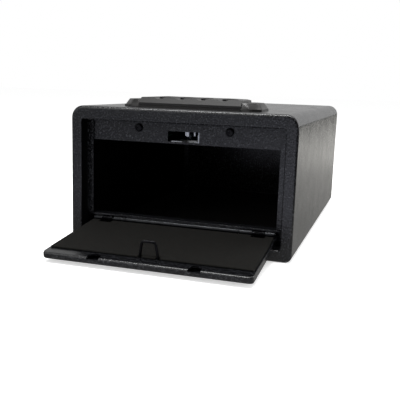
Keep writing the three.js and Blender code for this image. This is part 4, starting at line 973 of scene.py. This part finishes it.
def torsionPoints(spring):
    radius, leg, (start, end), (y, z) = spring["radius"], spring["leg"], spring["ends"], spring["centre"]
    points = [at(start, y + leg, z + radius)]
    turns = spring["turns"] + 0.5  # the legs end up on opposite sides
    count = round(turns * stepsPerTurn)
    for i in range(count + 1):
        angle = math.pi / 2 + i / count * turns * 2 * math.pi
        x = start + (end - start) * i / count
        points.append(at(x, y + radius * math.cos(angle), z + radius * math.sin(angle)))
    return points + [at(end, y - leg, z - radius)]


def drawWire(name, points, settings):
    mesh = bpy.data.meshes.new(name)
    mesh.from_pydata(points, [(i, i + 1) for i in range(len(points) - 1)], [])
    wire = linkMesh(name, mesh)
    runTree(wire, wireAlongLine, {
        "Thickness": settings["thickness"] * mm, "Bend": settings["bend"] * mm,
        "Sides": settings["sides"], "Finish": materials[settings["finish"]]})
    node = settings["node"]
    dressPiece(wire, settings["finish"], [node])


drawWire("strikerLoop", strikerPoints(strikerLoop), strikerLoop)
for name, spring in springs.items():
    drawWire(name, torsionPoints(spring), spring)
print("wires:", 1 + len(springs))


# Screws: a turned head with a hexagon socket, made once for each kind and set out in rows

screwKinds = {
    "headerScrews": {
        "nodes": ["header_screw_left", "header_screw_right"],
        "head": 3.8, "height": 2.2, "crown": 2.3, "rim": 0.45, "socket": 1.35, "depth": 1.3,
        "shank": 1.9, "length": 7, "facing": (0, -1, 0), "count": 2, "rows": 1,
        "first": (-42, 13.5, 105.7), "step": (84, 0, 0), "rowStep": (0, 0, 0)},
    "padScrews": {
        "nodes": [f"keypad_screw_{number}" for number in range(1, 5)],
        "head": 3, "height": 2, "crown": 2, "rim": 0.5, "socket": 1.1, "depth": 1.1,
        "shank": 1.5, "length": 6.5, "facing": (0, 0, -1), "count": 2, "rows": 2,
        "first": (-53.6, 39, 122), "step": (107.2, 0, 0), "rowStep": (0, 18, 0)},
    "latchScrews": {
        "nodes": ["latch_screw_1", "latch_screw_2"],
        "head": 2.4, "height": 1.4, "crown": 1.6, "rim": 0.35, "socket": 0.85, "depth": 0.8,
        "shank": 1.2, "length": 3.9, "facing": (0, 0, -1), "count": 2, "rows": 1,
        "first": (-8, 42, 93), "step": (19.5, 18, 0), "rowStep": (0, 0, 0)},
}
screwForm = {
    "sides": 30, "domeSteps": 6, "tipShare": 0.8, "tip": 0.4, "ledge": 0.1, "ledgeHeight": 0.12,
    "chamfer": 0.08, "chamferDepth": 0.1, "drill": 0.2, "drillDepth": 0.35, "smooth": 35,
}


def ringOfHead(radius, z, sides, hexagon=False):
    ring = []
    for i in range(sides):
        angle = 2 * math.pi * i / sides
        reach = radius / math.cos((angle + math.pi / 6) % (math.pi / 3) - math.pi / 6) if hexagon else radius
        ring.append(Vector((reach * math.cos(angle), reach * math.sin(angle), z)) * mm)
    return ring


def makeScrew(name, kind, form):
    head, top, crown, rim, shank = kind["head"], kind["height"], kind["crown"], kind["rim"], kind["shank"]
    socket, bottom, end, steps = kind["socket"], top - kind["depth"], -kind["length"], form["domeSteps"]
    profile = [(shank * form["tipShare"], end), (shank, end + form["tip"]), (shank, 0),
               (head - form["ledge"], 0), (head, form["ledgeHeight"]), (head, rim)]
    for step in range(1, steps + 1):
        angle = math.pi / 2 * step / steps
        profile.append((crown + (head - crown) * math.cos(angle), rim + (top - rim) * math.sin(angle)))
    hollow = [(socket + form["chamfer"], top), (socket, top - form["chamferDepth"]), (socket, bottom)]
    rings = [ringOfHead(radius, z, form["sides"]) for radius, z in profile]
    rings += [ringOfHead(radius, z, form["sides"], hexagon=True) for radius, z in hollow]
    rings.append(ringOfHead(form["drill"], bottom - form["drillDepth"], form["sides"]))
    screw = loftRings(name, rings, capped=True)
    turned = Vector((0, 0, 1)).rotation_difference(Vector(kind["facing"])).to_matrix().to_4x4()
    screw.data.transform(turned)
    return screw


for name, kind in screwKinds.items():
    screws = makeScrew(name, kind, screwForm)
    softenShade(screws, screwForm["smooth"])
    runTree(screws, screwsInRows, {
        "Count": kind["count"], "Rows": kind["rows"], "First Place": at(*kind["first"]),
        "Step": Vector(kind["step"]) * mm, "Row Step": Vector(kind["rowStep"]) * mm,
        "Finish": materials["blackOxide"]})
    dressPiece(screws, "blackOxide", kind["nodes"])
print("screws:", sum(len(kind["nodes"]) for kind in screwKinds.values()))


# The solenoid's winding: turns of wire side by side over a core

windingSizes = {
    "radius": 4.2, "wire": 0.28, "front": 72.6, "back": 97.4, "centre": (5.5, 115),
    "coreInner": 3.35, "coreOuter": 4.25, "coreSpare": 0.3, "coreSides": 40,
}


def makeWinding(sizes):
    x, z = sizes["centre"]
    inner, outer, sides = sizes["coreInner"], sizes["coreOuter"], sizes["coreSides"]
    front, back = sizes["front"] - sizes["coreSpare"], sizes["back"] + sizes["coreSpare"]
    turns = [2 * math.pi * i / sides for i in range(sides)]
    rings = [[at(x + radius * math.cos(turn), y, z + radius * math.sin(turn)) for turn in turns]
             for radius, y in ((inner, front), (outer, front), (outer, back), (inner, back))]
    coil = loftRings("solenoidCoil", rings, closed=True)
    softenShade(coil)
    pitch = sizes["wire"] * 2
    runTree(coil, woundTurns, {
        "Turns": int((sizes["back"] - sizes["front"]) / pitch), "Pitch": Vector((0, pitch, 0)) * mm,
        "First Turn": at(x, sizes["front"] + sizes["wire"], z), "Radius": sizes["radius"] * mm,
        "Wire": sizes["wire"] * mm, "Finish": materials["copper"]})
    return coil


solenoidCoil = makeWinding(windingSizes)
dressPiece(solenoidCoil, "copper", ["solenoid_coil"])
print("winding done")


# The folded, machined and moulded parts keep their CAD form and get rounded edges

folded = {  # each finish with its nodes and how far their edges are rounded
    "powder": {"rear_panel": 0.5, "jamb_frame": 0.45, "hinge_sill": 0.35, "lock_housing": 0.45},
    "hingeSteel": {"body_hinge_leaf": 0.15, "door_hinge_leaf": 0.15, "hinge_pin": 0.15},
    "zinc": {
        "header_bracket": 0.25, "latch_chassis": 0.18, "latch_hook": 0.2, "latch_pivot_pin": 0.15,
        "plunger_link": 0.15, "solenoid_plunger": 0.3, "solenoid_frame": 0.3, "override_lock_nut": 0.3,
        "override_shaft": 0.3, "override_finger": 0.2, "shaft_guide": 0.3},
    "chrome": {"override_lock_body": 0.35, "override_lock_plug": 0.25},
    "trayPlastic": {"battery_tray": 0.3, "battery_cover": 0.3},
    "cellSleeve": {f"battery_cell_{number}": 0.5 for number in range(1, 5)},
    "springWire": {"battery_contact_front": 0.12, "battery_contact_rear": 0.12},
    "board": {"control_board": 0.15, "keypad_board": 0.12},
    "wireRubber": {"ribbon_cable": 0.15, "battery_lead": 0.05, "solenoid_lead": 0.05},
    "plastic": {"keypad_base": 0.6, "keypad_cover": 0.5},
    "keyRubber": {f"key_{number}": 0.3 for number in range(1, 5)},
    "lens": {"status_led": 0.1},
    "blackOxide": {"battery_cover_screw": 0.15, "board_screw_front": 0.15, "board_screw_rear": 0.15},
}
jambForward = 0.5  # a face of the jamb that looks further forward than this keeps the outer finish

for finish, edges in folded.items():
    for node, edge in edges.items():
        piece = copyOfNode(node, camelName(node))
        roundEdges(piece, edge)
        softenShade(piece)
        dressPiece(piece, finish, [node])
        # the jamb's inner faces get the darker cavity powder, which is painted shade
        if node == "jamb_frame":
            paintShadeInside(piece, "cavityShadePowder", lambda spot, facing: facing.y > -jambForward)
print("folded and moulded parts:", sum(len(edges) for edges in folded.values()))
